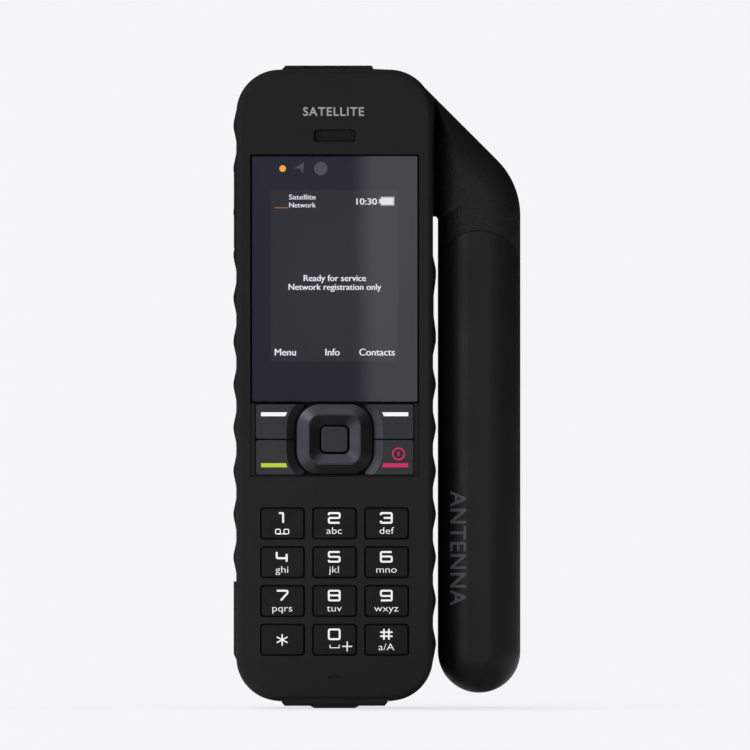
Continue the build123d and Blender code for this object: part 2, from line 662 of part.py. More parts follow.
# keypad area, display area and a tongue towards the bottom connector
board_areas = (
    # centre (x, z), (width, height, corner)
    ((0, -27.3), (42.6, 89.2, 1.0)),
    ((0, 31.0), (34.6, 64.0, 1.0)),
    ((0, -74.5), (16.0, 7.0, 0.5)),
)
with BuildPart() as main_board:
    with BuildSketch(at_d(board_d)):
        for centre, area in board_areas:
            with Locations(centre):
                RectangleRounded(*area)
    extrude(amount=board_t)
    disc(at_d(27.0), 2.0, 1.0, (0, 15.5), (-18, -30), (18, -30), cut=True)
keep(main_board.part, "main_board")

# shallow boxes open to the board
can_d, can_wall = 23.6, 0.25
cans = (
    # centre (x, z), (width, height)
    ((0, 41), (31, 36)),
    ((-4, 0), (26, 32)),
    ((2, -44), (32, 40)),
)
with BuildPart() as shield_cans:
    for centre, size in cans:
        slab(at_d(can_d), 3.65, size, centre, corner=0.8)
    for centre, (width, height) in cans:
        hollow = (width - 2 * can_wall, height - 2 * can_wall)
        slab(at_d(can_d + can_wall), 4, hollow, centre, corner=0.6, cut=True)
keep(shield_cans.part, "shield_cans")

# ---------------------------------------------------------------- sound parts and motor
with BuildPart() as earpiece_speaker:
    slab(at_d(29.2), 3.1, (13.0, 8.0), EAR_XZ, corner=1.5)
    slab(at_d(32.3), 0.6, (11.0, 5.5), EAR_XZ, corner=1.5)
keep(earpiece_speaker.part, "earpiece_speaker")

# slot-shaped plate with one row of holes
mesh_pitch, mesh_holes = 0.85, 9
with BuildPart() as earpiece_mesh:
    with BuildSketch(at_d(33.1)):
        with Locations(EAR_XZ):
            SlotOverall(8.96, 1.76)
        with Locations(*[(-3.4 + mesh_pitch * k, EAR_XZ[1]) for k in range(mesh_holes)]):
            Circle(0.2, mode=Mode.SUBTRACT)
    extrude(amount=0.3)
keep(earpiece_mesh.part, "earpiece_mesh")

mic_d, mic_t = 30.2, 2.5
with BuildPart() as microphone:
    disc(at_d(mic_d), mic_t, 2.2, MIC_XZ)
    disc(at_d(mic_d + mic_t), 0.2, 1.4, MIC_XZ)
keep(microphone.part, "microphone")

# body with a raised rim at the rear
speaker_size, speaker_corner = (19.0, 13.0), 2.5
with BuildPart() as loudspeaker:
    slab(at_d(6.4), 4.2, speaker_size, SPEAKER_XZ, corner=speaker_corner)
    with BuildSketch(at_d(6.1)):
        with Locations(SPEAKER_XZ):
            RectangleRounded(*speaker_size, speaker_corner)
            RectangleRounded(16.4, 10.4, 2.0, mode=Mode.SUBTRACT)
    extrude(amount=0.35)
keep(loudspeaker.part, "loudspeaker")

motor_x, motor_l = -14.0, 8.6
with BuildPart() as vibration_motor:
    disc(at_x(motor_x), motor_l, 3.0, MOTOR_YZ)
    disc(at_x(motor_x + motor_l), 4.2, 0.4, MOTOR_YZ)
keep(vibration_motor.part, "vibration_motor")

# disc with its upper part cut away, bored for the motor shaft
with BuildPart() as vibration_weight:
    with BuildSketch(at_x(-4.9)):
        with Locations(MOTOR_YZ):
            Circle(2.8)
        with Locations((MOTOR_YZ[0], MOTOR_YZ[1] + 2.4)):
            Rectangle(8, 3.2, mode=Mode.SUBTRACT)
        with Locations(MOTOR_YZ):
            Circle(0.45, mode=Mode.SUBTRACT)
    extrude(amount=3.2)
keep(vibration_weight.part, "vibration_weight")

# ---------------------------------------------------------------- sockets
# body, narrower mouth, bore
with BuildPart() as headset_jack:
    disc(at_x(-23.3), 13.5, 2.6, JACK_YZ)
    disc(at_x(SOCKET_X), 1.6, SOCKET_MOUTH_R, JACK_YZ)
    disc(at_x(-26), 13.6, 1.8, JACK_YZ, cut=True)
keep(headset_jack.part, "headset_jack")

# body, bore, centre pin
with BuildPart() as antenna_socket:
    disc(at_x(SOCKET_X), 9.0, SOCKET_MOUTH_R, SOCK_YZ)
    disc(at_x(-26), 4.6, 1.9, SOCK_YZ, cut=True)
    disc(at_x(-24.2), 4.0, 0.45, SOCK_YZ)
keep(antenna_socket.part, "antenna_socket")

# shell, mouth, tongue
PLUG_Y = -25.6             # depth axis of the connector mouth
with BuildPart() as usb_connector:
    slab(at_d(24.0), 3.2, (8.8, 7.4), (0, -77.6))
    slab(at_z(-82), 6.6, (7.8, 2.3), (0, PLUG_Y), corner=0.6, cut=True)
    slab(at_z(-80.6), 5.3, (5.6, 0.6), (0, -25.9))
keep(usb_connector.part, "usb_connector")

# ---------------------------------------------------------------- battery, contacts, card
with BuildPart() as battery_contacts:
    slab(at_d(13.3), 3.4, (1.2, 3.8), *CONTACT_PADS)
    fillet(battery_contacts.edges().filter_by(Axis.X), 0.5)
keep(battery_contacts.part, "battery_contacts")

with BuildPart() as battery_pack:
    slab(at_d(2.3), 10.9, (40.2, 69.3), (0, -25.05), corner=2.0)
    fillet(battery_pack.edges().group_by(Axis.Y)[0], 0.8)
    fillet(battery_pack.edges().group_by(Axis.Y)[-1], 0.8)
    # contact recesses
    slab(at_d(13.0), 1, (2.0, 4.6), *CONTACT_PADS, cut=True)
keep(battery_pack.part, "battery_pack")

with BuildPart() as sim_holder:
    # flap with a rounded hinge edge
    with BuildSketch(at_z(SIM_BOT)):
        with Locations((SIM_X, -SIM_AXIS_D)):
            Rectangle(SIM_W, SIM_T)
        with Locations((SIM_AXIS_X, -SIM_AXIS_D)):
            Circle(SIM_T / 2)
    extrude(amount=SIM_H)
    # card slot, open at the lower end, and the window over the card
    slab(at_z(SIM_BOT - 1), SIM_H - 0.3, (15.3, 0.86), (CARD_X, -SIM_AXIS_D), cut=True)
    slab(at_d(SIM_AXIS_D - 1), 1.0, (11.0, 20.0), (CARD_X, SIM_Z), cut=True)
keep(sim_holder.part, "sim_holder")

card_t = 0.76
with BuildPart() as sim_card:
    with BuildSketch(at_d(SIM_AXIS_D - card_t / 2)) as card:
        with Locations((CARD_X, SIM_Z - 0.4)):
            Rectangle(15.0, 25.0)
        fillet(card.vertices(), 0.8)
    extrude(amount=card_t)
keep(sim_card.part, "sim_card")

# ---------------------------------------------------------------- battery cover
with BuildPart() as battery_cover:
    slab(
        at_d(0), D_REAR - 0.02, (2 * COVER_HW, COVER_TOP - COVER_BOT),
        (0, (COVER_TOP + COVER_BOT) / 2), corner=4.0,
    )
    fillet(battery_cover.faces().sort_by(Axis.Y)[-1].edges(), 2.4)
    # hollow over the bay
    slab(at_d(1.5), 5, (BAY_W, BAY_H), BAY_XZ, corner=BAY_CORNER, cut=True)
    # gasket groove
    with BuildSketch(at_d(3.2)):
        with Locations(BAY_XZ):
            RectangleRounded(BAY_W + 1.7, BAY_H + 1.7, 2.3)
            RectangleRounded(BAY_W + 0.6, BAY_H + 0.6, 1.8, mode=Mode.SUBTRACT)
    extrude(amount=2, mode=Mode.SUBTRACT)
    # locating nibs
    slab(at_d(3.5), 1.9, (5.0, 0.8), *NIB_XZ)
    # seat and hole of the cover screw
    disc(at_d(-1), 2.6, 3.3, COVER_SCREW_XZ, cut=True)
    disc(at_d(-1), 8, 1.55, COVER_SCREW_XZ, cut=True)
keep(battery_cover.part, "battery_cover")

with BuildPart() as battery_cover_seal:
    with BuildSketch(at_d(3.25)):
        with Locations(BAY_XZ):
            RectangleRounded(BAY_W + 1.6, BAY_H + 1.6, 2.25)
            RectangleRounded(BAY_W + 0.7, BAY_H + 0.7, 1.85, mode=Mode.SUBTRACT)
    extrude(amount=0.73)
keep(battery_cover_seal.part, "battery_cover_seal")

# head, shank, driver slot
cover_screw_d = 0.15
with BuildPart() as battery_cover_screw:
    disc(at_d(cover_screw_d), 1.4, 3.15, COVER_SCREW_XZ)
    disc(at_d(1.5), 9.5, 1.5, COVER_SCREW_XZ)
    slab(at_d(cover_screw_d), 0.8, (8, 0.9), COVER_SCREW_XZ, cut=True)
keep(battery_cover_screw.part, "battery_cover_screw")

# ---------------------------------------------------------------- side keys
track_yz = (-(TRACK_D0 + TRACK_D1) / 2, TRACK_Z)
with BuildPart() as tracking_key:
    slab(at_x(-26.5), 4.1, (TRACK_W, TRACK_H), track_yz, corner=1.2)
    chamfer(tracking_key.faces().sort_by(Axis.X)[0].edges(), 0.35)
    # retaining flange
    slab(at_x(-23.1), 0.7, (TRACK_W + 1.4, TRACK_H + 1.4), track_yz)
keep(tracking_key.part, "tracking_key")

rock_yz = (-(ROCK_D0 + ROCK_D1) / 2, ROCK_Z)
rock_back, rock_end, rock_waist, rock_hump = 23.9, 25.75, 26.0, 26.6   # x of the profile
with BuildPart() as volume_rocker:
    # a hump at each end with a waist between them
    with BuildSketch(at_d(ROCK_D0)) as humps:
        with BuildLine():
            Polyline(
                (rock_back, ROCK_BOT), (rock_end, ROCK_BOT),
                (rock_hump, ROCK_BOT + 4.0), (rock_hump, ROCK_BOT + 6.2),
                (rock_waist, ROCK_Z - 2.6), (rock_waist, ROCK_Z + 2.6),
                (rock_hump, ROCK_TOP - 6.2), (rock_hump, ROCK_TOP - 4.0),
                (rock_end, ROCK_TOP), (rock_back, ROCK_TOP), close=True,
            )
        make_face()
        fillet([v for v in humps.vertices() if v.X > 25.9], 1.5)
    extrude(amount=ROCK_W)
    # retaining flange and the stem that carries it
    slab(at_x(22.4), 0.7, (ROCK_W + 1.6, 7.0), rock_yz)
    slab(at_x(22.6), 2.0, (ROCK_W, 7.0), rock_yz)
keep(volume_rocker.part, "volume_rocker")

# ---------------------------------------------------------------- covers on the edges
with BuildPart() as side_port_cover:
    with BuildSketch(at_z(PORT_BOT)) as section:
        with Locations((PORT_AXIS_X, -(PORT_AXIS_D + PORT_D1) / 2)):
            Rectangle(2 * PORT_R, PORT_D1 - PORT_AXIS_D)
        fillet([v for v in section.vertices() if v.Y < -28 and v.X < PORT_AXIS_X], 0.5)
        with Locations((PORT_AXIS_X, -PORT_AXIS_D)):
            Circle(PORT_R)
    extrude(amount=PORT_TOP - PORT_BOT)
    # sloped lower end
    with BuildSketch(at_d(0)):
        with BuildLine():
            Polyline(
                (-27, PORT_BOT - 1), (-25.9, PORT_BOT - 0.01),
                (-26.6, PORT_BOT + 1.6), (-27, PORT_BOT + 1.6), close=True,
            )
        make_face()
    extrude(amount=40, mode=Mode.SUBTRACT)
    # rim on the inner face, around both sockets
    with BuildSketch(at_x(PORT_AXIS_X)):
        with Locations((-JACK_D, (PORT_TOP + PORT_BOT) / 2)):
            RectangleRounded(6.0, 17.0, 1.5)
            RectangleRounded(5.2, 16.2, 1.1, mode=Mode.SUBTRACT)
    extrude(amount=0.72)
keep(side_port_cover.part, "side_port_cover")

with BuildPart() as usb_cover:
    # section across X: flap with a round hinge edge at the rear
    with BuildSketch(at_x(-USB_HW + COVER_GAP)) as section:
        with BuildLine():
            Polyline(
                (-USB_AXIS_D, USB_AXIS_Z + USB_R), (-USB_D1, USB_AXIS_Z + USB_R),
                (-USB_D1, USB_LOW), (-USB_AXIS_D - 2.6, USB_LOW),
                (-USB_AXIS_D, USB_AXIS_Z - USB_R), close=True,
            )
        make_face()
        fillet([v for v in section.vertices() if v.Y < USB_LOW + 0.1], COVER_EDGE_R)
        with Locations(USB_AXIS_YZ):
            Circle(USB_R)
    extrude(amount=2 * (USB_HW - COVER_GAP))
    # bevelled left and right ends
    with BuildSketch(at_d(0)):
        with BuildLine():
            Polyline(
                (-14, USB_Z), (14, USB_Z), (14, -82.7),
                (12.8, -84.2), (-12.8, -84.2), (-14, -82.7), close=True,
            )
        make_face()
    extrude(amount=40, mode=Mode.INTERSECT)
    # pull tab
    with BuildSketch(at_d(31.2)):
        with BuildLine():
            Polyline(
                (-6.6, -83.2), (6.6, -83.2), (6.6, -83.75),
                (5.3, -84.4), (-5.3, -84.4), (-6.6, -83.75), close=True,
            )
        make_face()
    extrude(amount=2.6)
    # seal plug and hinge pins
    slab(at_z(-82.6), 1.85, (6.6, 1.4), (0, PLUG_Y), corner=0.5)
    disc(at_x(-USB_HW - PIN_REACH), 2 * (USB_HW + PIN_REACH), PIN_R, USB_AXIS_YZ)
keep(usb_cover.part, "usb_cover")

sos_left, sos_right = SOS_X0 + COVER_GAP, SOS_X1 - COVER_GAP
with BuildPart() as sos_cover:
    with BuildSketch(at_x(sos_left)) as section:
        with BuildLine():
            Polyline(
                (-SOS_AXIS_D, SOS_AXIS_Z - SOS_R), (-SOS_D1, SOS_AXIS_Z - SOS_R),
                (-SOS_D1, SOS_HIGH), (-SOS_AXIS_D - 2.6, SOS_HIGH),
                (-SOS_AXIS_D, SOS_AXIS_Z + SOS_R), close=True,
            )
        make_face()
        fillet([v for v in section.vertices() if v.Y > SOS_HIGH - 0.1], COVER_EDGE_R)
        with Locations(SOS_AXIS_YZ):
            Circle(SOS_R)
    extrude(amount=sos_right - sos_left)
    # bevelled left and right ends
    with BuildSketch(at_d(0)):
        with BuildLine():
            Polyline(
                (sos_left, SOS_Z), (sos_left, 82.9), (-12.9, 84.15),
                (9.7, 84.15), (sos_right, 82.9), (sos_right, SOS_Z), close=True,
            )
        make_face()
    extrude(amount=40, mode=Mode.INTERSECT)
    # finger scoop at the free end
    with BuildSketch(at_z(83.4)):
        with Locations((SOS_XY[0], -SOS_D1)):
            SlotOverall(12.0, 2.4)
    extrude(amount=2, mode=Mode.SUBTRACT)
    # hinge pins
    disc(at_x(SOS_X0 - PIN_REACH), SOS_W + 2 * PIN_REACH, PIN_R, SOS_AXIS_YZ)
keep(sos_cover.part, "sos_cover")

# retaining flange and button
sos_button_z = 78.1
with BuildPart() as sos_button:
    disc(at_z(sos_button_z), 0.7, 5.3, SOS_XY)
    disc(at_z(sos_button_z), 3.3, 4.45, SOS_XY)
    fillet(sos_button.faces().sort_by(Axis.Z)[-1].edges(), 0.4)
keep(sos_button.part, "sos_button")

# ---------------------------------------------------------------- hinge
# sleeve with an inner collar
collar_t = 0.6
with BuildPart() as hinge_bushing:
    disc(at_x(HUB_X0), SEAT_X - HUB_X0, BUSH_R, HINGE_YZ)
    disc(at_x(HUB_X0 - collar_t), collar_t, 6.8, HINGE_YZ)
    disc(at_x(HUB_X0 - 1), 15.0, BUSH_BORE, HINGE_YZ, cut=True)
keep(hinge_bushing.part, "hinge_bushing")

SHAFT_X0, SHAFT_X1 = 10.0, 31.5
with BuildPart() as hinge_shaft:
    disc(at_x(SHAFT_X0), SHAFT_X1 - SHAFT_X0, SHAFT_R, HINGE_YZ)
    disc(at_x(SHAFT_X0 - 1), 30.0, SHAFT_BORE, HINGE_YZ, cut=True)
keep(hinge_shaft.part, "hinge_shaft")

# hexagon with a round face towards the bushing
with BuildPart() as hinge_nut:
    with BuildSketch(at_x(10.8)):
        with Locations(HINGE_YZ):
            RegularPolygon(7.0, 6)
            Circle(SHAFT_R, mode=Mode.SUBTRACT)
    extrude(amount=2.2)
    with BuildSketch(at_x(12.9)):
        with Locations(HINGE_YZ):
            Circle(6.4)
            Circle(SHAFT_R, mode=Mode.SUBTRACT)
    extrude(amount=0.45)
keep(hinge_nut.part, "hinge_nut")

# ---------------------------------------------------------------- antenna arm
# upper part of the antenna column, above the radome
with BuildPart() as rod_prism:
    slab(at_z(24), 30, (2 * ROD_R, ANT_T), ROD_XY, corner=ANT_FILLET)
    add(head_block.part, mode=Mode.INTERSECT)

# seen from above, the arm is rounded on the side that faces the handset
plan_end = ROD_X + 20
with BuildPart() as arm_plan:
    with BuildSketch(at_z(20)) as plan:
        with Locations(((ARM_X + plan_end) / 2, -HINGE_D)):
            Rectangle(plan_end - ARM_X, ANT_T)
        fillet(
            [v for v in plan.vertices() if v.X < ARM_X + 0.1 and v.Y < -HINGE_D],
            ARM_ROUND_FRONT,
        )
        fillet(
            [v for v in plan.vertices() if v.X < ARM_X + 0.1 and v.Y > -HINGE_D],
            ARM_ROUND_REAR,
        )
    extrude(amount=70)

web_top, web_bot = HEAD_BOT + 0.2, HEAD_BOT - 1.4
bore_z = 30                # start of the vertical bores
neck_bore_r = 5.05
with BuildPart() as antenna_arm:
    slab(at_x(ARM_X), 40, (ANT_T, HEAD_TOP - HEAD_BOT), HINGE_YZ, corner=SEAT_CORNER)
    add(head_block.part, mode=Mode.INTERSECT)
    add(arm_plan.part, mode=Mode.INTERSECT)
    add(rod_prism.part)
    # rounded inner corner beside the handset
    with BuildSketch(at_d(HINGE_D - 7)):
        with BuildLine():
            Line((ARM_X, web_top), (ROD_IN + 0.5, web_top))
            Line((ROD_IN + 0.5, web_top), (ROD_IN + 0.5, web_bot))
            Line((ROD_IN + 0.5, web_bot), (ROD_IN + 0.02, web_bot))
            ThreePointArc(
                (ROD_IN + 0.02, web_bot), (ROD_IN - 0.2, HEAD_BOT - 0.35), (ARM_X, web_top)
            )
        make_face()
    extrude(amount=14)
    # curved parting line with the radome
    with BuildSketch(at_d(-5)):
        with Locations((ROD_X, ARC_Z)):
            Circle(ARC_R + ARC_GAP)
        with Locations((ROD_X, ARC_Z - 10)):
            Rectangle(2 * ARC_R, 20)
    extrude(amount=40, mode=Mode.SUBTRACT)
    line = [
        e
        for f in antenna_arm.faces().filter_by(GeomType.CYLINDER)
        if f.radius and abs(f.radius - ARC_R - ARC_GAP) < 0.001
        for e in f.edges()
    ]
    chamfer(line, PARTING_CHAMFER)
    # shaft bore, cable way along X then Z, and neck bore
    disc(at_x(20), SHAFT_X1 - 20, SHAFT_R, HINGE_YZ, cut=True)
    disc(at_x(30), ROD_X + CABLE_WAY_R - 30, CABLE_WAY_R, HINGE_YZ, cut=True)
    disc(at_z(bore_z), HINGE_Z + CABLE_WAY_R - bore_z, CABLE_WAY_R, ROD_XY, cut=True)
    disc(at_z(bore_z), 17.0, neck_bore_r, ROD_XY, cut=True)
keep(antenna_arm.part, "antenna_arm")

# ---------------------------------------------------------------- antenna radome
radome_top = ARC_Z + 20    # before the parting arc cuts it
radome_wall = 1.7
with BuildPart() as antenna_radome:
    with BuildSketch(at_d(D_ANT0)):
        with Locations((ROD_X, (radome_top + ROD_BOT) / 2)):
            SlotOverall(radome_top - ROD_BOT + 2 * ROD_R, 2 * ROD_R, rotation=90)
    extrude(amount=ANT_T)
    fillet(antenna_radome.faces().filter_by(Axis.Y).edges(), ANT_FILLET)
    # parting arc at the top
    with BuildSketch(at_d(-5)):
        with Locations((ROD_X, ARC_Z)):
            Circle(ARC_R)
        with Locations((ROD_X, ARC_Z - 60)):
            Rectangle(40, 120)
    extrude(amount=40, mode=Mode.INTERSECT)
    line = [
        e
        for f in antenna_radome.faces().filter_by(GeomType.CYLINDER)
        if f.radius and abs(f.radius - ARC_R) < 0.001
        for e in f.edges()
    ]
    chamfer(line, PARTING_CHAMFER)
    # neck, hollow and cable way
    disc(at_z(38), 8.8, 5.0, ROD_XY)
    slab(
        at_z(ROD_BOT), ARC_Z - ROD_BOT, (2 * (ROD_R - radome_wall), ANT_T - 2 * radome_wall),
        ROD_XY, corner=ANT_FILLET - radome_wall, cut=True,
    )
    disc(at_z(20), 40, CABLE_WAY_R, ROD_XY, cut=True)
keep(antenna_radome.part, "antenna_radome")

# ---------------------------------------------------------------- antenna helix and cable
strands = 4
with BuildPart() as antenna_helix:
    # tube
    with BuildSketch(at_z(-66)):
        with Locations(ROD_XY):
            Circle(6.6)
            Circle(5.8, mode=Mode.SUBTRACT)
    extrude(amount=92)
    # washer-shaped plate at the top
    with BuildSketch(at_z(25.0)):
        with Locations(ROD_XY):
            Circle(8.4)
            Circle(1.0, mode=Mode.SUBTRACT)
    extrude(amount=1.6)
    # strands wound on the tube, equally spaced around it
    for k in range(strands):
        angle = k * 2 * math.pi / strands
        start = Plane((*ROD_XY, -62.0), x_dir=(math.cos(angle), math.sin(angle), 0))
        with BuildLine(start) as turn:
            Helix(pitch=160, height=84, radius=6.7)
        with BuildSketch(Plane(turn.line @ 0, z_dir=turn.line % 0)):
            Rectangle(0.6, 1.6)
        sweep(path=turn.line)
keep(antenna_helix.part, "antenna_helix")

coax_x, coax_bottom = 9, 26.9
with BuildPart() as antenna_coax:
    with BuildLine() as way:
        Polyline((coax_x, *HINGE_YZ), (ROD_X, *HINGE_YZ), (*ROD_XY, coax_bottom))
        corners = [
            v for v in way.vertices() if abs(v.X - ROD_X) < 0.01 and abs(v.Z - HINGE_Z) < 0.01
        ]
        fillet(corners, 1.4)
    with BuildSketch(at_x(coax_x)):
        with Locations(HINGE_YZ):
            Circle(0.9)
    sweep(path=way.line)
keep(antenna_coax.part, "antenna_coax")
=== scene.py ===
"""Satellite handset with a hinged antenna, standing upright on a paper floor.

The screen and keypad face -Y and the battery side faces +Y. The antenna is on the +X side, +Z is
up. Sizes of printed marks are in mm; a depth is the distance in front of y = 0, toward -Y.
"""
import bpy
import bmesh
import math
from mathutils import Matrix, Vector
from mathutils.bvhtree import BVHTree


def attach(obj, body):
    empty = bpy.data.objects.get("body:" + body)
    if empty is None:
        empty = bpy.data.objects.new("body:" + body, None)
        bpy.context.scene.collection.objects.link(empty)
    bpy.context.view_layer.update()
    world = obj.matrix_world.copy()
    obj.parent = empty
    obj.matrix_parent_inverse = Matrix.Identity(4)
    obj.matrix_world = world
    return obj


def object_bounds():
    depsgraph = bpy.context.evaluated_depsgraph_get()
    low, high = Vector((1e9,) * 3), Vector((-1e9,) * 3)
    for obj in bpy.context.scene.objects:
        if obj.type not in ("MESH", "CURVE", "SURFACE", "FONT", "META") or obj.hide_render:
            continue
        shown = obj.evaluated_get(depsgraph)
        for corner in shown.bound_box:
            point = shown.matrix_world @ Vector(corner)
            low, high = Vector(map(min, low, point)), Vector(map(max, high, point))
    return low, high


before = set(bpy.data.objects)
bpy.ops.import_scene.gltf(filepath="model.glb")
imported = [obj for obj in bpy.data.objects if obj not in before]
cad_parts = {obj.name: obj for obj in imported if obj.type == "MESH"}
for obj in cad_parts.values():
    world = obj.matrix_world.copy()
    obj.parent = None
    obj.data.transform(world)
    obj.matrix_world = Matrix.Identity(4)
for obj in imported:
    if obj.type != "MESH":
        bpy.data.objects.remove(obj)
rest_bounds = [list(map(float, v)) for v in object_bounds()]

MM = 0.001
scene = bpy.context.scene


# ------------------------------------------------------------------ colours and node trees
def srgb(red, green, blue):
    """0-255 display colour to linear, with alpha."""
    linear = []
    for value in (red, green, blue):
        c = value / 255.0
        linear.append(c / 12.92 if c <= 0.04045 else ((c + 0.055) / 1.055) ** 2.4)
    return (*linear, 1.0)


def shade(colour, factor):
    """Opaque colour scaled by a factor."""
    return tuple(c * factor for c in colour[:3]) + (1.0,)


class Nodes:
    """Builds the node tree of a material or world. Inputs take a value or a socket."""

    def __init__(self, owner, output):
        owner.use_nodes = True
        self.tree = owner.node_tree
        self.tree.nodes.clear()
        self.out = self.new(output)
        self.tex_coord = self.new("ShaderNodeTexCoord")
        self.coords = self.tex_coord.outputs["Object"]

    def new(self, kind, inputs=(), **props):
        node = self.tree.nodes.new(kind)
        for key, value in props.items():
            setattr(node, key, value)
        for key, value in dict(inputs).items():
            if isinstance(value, bpy.types.NodeSocket):
                self.tree.links.new(value, node.inputs[key])
            else:
                node.inputs[key].default_value = value
        return node

    def noise(self, scale, detail=4.0, rough=0.55, coords=None, distort=0.0):
        return self.new("ShaderNodeTexNoise", {
            "Scale": scale, "Detail": detail, "Roughness": rough, "Distortion": distort,
            "Vector": coords or self.coords}).outputs["Fac"]

    def voronoi(self, scale, feature, coords):
        inputs = {"Scale": scale, "Vector": coords}
        return self.new("ShaderNodeTexVoronoi", inputs, feature=feature).outputs["Distance"]

    def ramp(self, fac, stops):
        """Colour ramp; stops are (position, colour)."""
        node = self.new("ShaderNodeValToRGB", {"Fac": fac})
        elements = node.color_ramp.elements
        while len(elements) > 1:
            elements.remove(elements[-1])
        elements[0].position, elements[0].color = stops[0]
        for position, colour in stops[1:]:
            elements.new(position).color = colour
        return node.outputs["Color"]

    def math(self, operation, *values):
        return self.new("ShaderNodeMath", enumerate(values), operation=operation).outputs[0]

    def add(self, a, b):
        return self.math("ADD", a, b)

    def mul(self, a, b):
        return self.math("MULTIPLY", a, b)

    def remap(self, value, span, to, smooth=False):
        """Maps the range span onto the range to."""
        return self.new("ShaderNodeMapRange", enumerate((value, *span, *to)),
                        interpolation_type="SMOOTHSTEP" if smooth else "LINEAR").outputs[0]

    def mix(self, fac, a, b):
        """Colour a at fac 0, colour b at fac 1."""
        return self.new("ShaderNodeMix", {0: fac, 6: a, 7: b}, data_type="RGBA").outputs[2]

    def bump(self, height, strength, distance):
        return self.new("ShaderNodeBump", {
            "Strength": strength, "Distance": distance, "Height": height}).outputs["Normal"]

    def mix_shader(self, fac, a, b):
        return self.new("ShaderNodeMixShader", {0: fac, 1: a, 2: b}).outputs[0]

    def surface(self, shader):
        self.tree.links.new(shader, self.out.inputs["Surface"])

    def principled(self, **inputs):
        inputs = {key.replace("_", " "): value for key, value in inputs.items()}
        self.surface(self.new("ShaderNodeBsdfPrincipled", inputs).outputs[0])


def start_material(name):
    mat = bpy.data.materials.new(name)
    return mat, Nodes(mat, "ShaderNodeOutputMaterial")


# ------------------------------------------------------------------ materials
def plastic(name, base, rough=0.5, spec=0.4, grain=2600.0, grain_depth=12e-6, tint=0.16,
            mottling=180.0, coat=0.0, wear=0.0, gap_shade_reach=0.0, painted_slope_light=0.0):
    """Moulded plastic with a fine grain and slight mottling.

    grain and mottling are noise scales, grain_depth is in metres. wear lightens the edges,
    gap_shade_reach is the distance (m) over which gaps are painted darker as shade,
    painted_slope_light paints facets lighter or darker by their facing, as painted light and
    shade.
    """
    mat, m = start_material(name)
    fine = m.noise(grain, detail=3.0, rough=0.6)
    cloud = m.noise(mottling, detail=3.0, rough=0.5)
    # equal parts of grain and mottling
    col = m.ramp(m.add(m.mul(fine, 0.5), m.mul(cloud, 0.5)),
                 [(0.32, shade(base, 1.0 - tint)), (0.68, shade(base, 1.0 + tint))])
    if wear > 0:
        geo = m.new("ShaderNodeNewGeometry")
        edge = m.remap(geo.outputs["Pointiness"], span=(0.53, 0.60), to=(0.0, wear), smooth=True)
        rubbed = m.mul(edge, m.remap(cloud, span=(0.35, 0.7), to=(0.2, 1.0)))
        col = m.mix(rubbed, col, tuple(min(1.0, c * 2.2 + 0.01) for c in base[:3]) + (1.0,))
    roughness = m.remap(cloud, span=(0.3, 0.7), to=(rough - 0.05, rough + 0.06))
    normal = m.bump(fine, strength=0.55, distance=grain_depth)
    shine = spec
    if painted_slope_light > 0:
        # painted light and shade: facets facing up and -X are painted lighter than those facing
        # down and +X
        geo = m.new("ShaderNodeNewGeometry")
        toward = m.new("ShaderNodeVectorMath",
                       {0: geo.outputs["True Normal"], 1: (-0.62, 0.0, 0.78)},
                       operation="DOT_PRODUCT").outputs["Value"]
        lighter = m.remap(toward, span=(0.0, 0.30), to=(0.0, painted_slope_light * 4.8))
        darker = m.remap(toward, span=(-0.30, 0.0), to=(1.0 - painted_slope_light * 0.6, 1.0))
        level = m.add(darker, lighter)
        col = m.new("ShaderNodeVectorMath", {0: col, "Scale": level},
                    operation="SCALE").outputs[0]
        # the specular strength follows the painted light and shade, but only up to 1.4 times
        shine = m.mul(m.math("MINIMUM", level, 1.4), spec)
    if gap_shade_reach > 0:
        # painted shade: ambient occlusion darkens colour and specular in gaps and recesses
        ao = m.new("ShaderNodeAmbientOcclusion", {"Distance": gap_shade_reach}, samples=6)
        unshaded_share = m.remap(ao.outputs["AO"], span=(0.45, 0.95), to=(0.05, 1.0), smooth=True)
        col = m.mix(unshaded_share, (0.002, 0.002, 0.002, 1.0), col)
        shine = m.mul(unshaded_share, shine)
    m.principled(Base_Color=col, Roughness=roughness, Specular_IOR_Level=shine, Normal=normal,
                 Coat_Weight=coat, Coat_Roughness=0.2)
    return mat


def leather(name, base, rough):
    """Rubber skin with a cast leather grain: cells with fine creases between them."""
    cell_scale = 1150.0
    mat, m = start_material(name)
    stretch = m.new("ShaderNodeMapping", {"Scale": (1.0, 1.0, 0.8), "Vector": m.coords})
    wobble = m.new("ShaderNodeTexNoise", {"Scale": 700.0, "Vector": stretch.outputs[0]})
    # 0.6 mm of wobble makes the cells irregular
    warped = m.new("ShaderNodeVectorMath", {
        0: wobble.outputs["Color"], 1: (0.0006, 0.0006, 0.0006), 2: stretch.outputs[0]},
        operation="MULTIPLY_ADD").outputs[0]
    cells = m.voronoi(cell_scale, "F1", warped)
    crease = m.voronoi(cell_scale, "DISTANCE_TO_EDGE", warped)
    crease = m.remap(crease, span=(0.0, 0.16), to=(0.0, 1.0), smooth=True)
    fine = m.noise(4200.0, detail=3.0, rough=0.6)
    # height: deep creases, a little fine grain, domed cells
    height = m.add(m.mul(crease, 0.8), m.mul(fine, 0.25))
    height = m.math("SUBTRACT", height, m.mul(cells, 0.5))
    # creases are coloured darker than the cells: painted shade in the creases
    m.principled(Base_Color=m.mix(crease, shade(base, 0.7), shade(base, 1.25)),
                 Normal=m.bump(height, strength=0.75, distance=7e-5),
                 Roughness=m.remap(fine, span=(0.3, 0.7), to=(rough - 0.06, rough + 0.06)),
                 Specular_IOR_Level=0.35)
    return mat


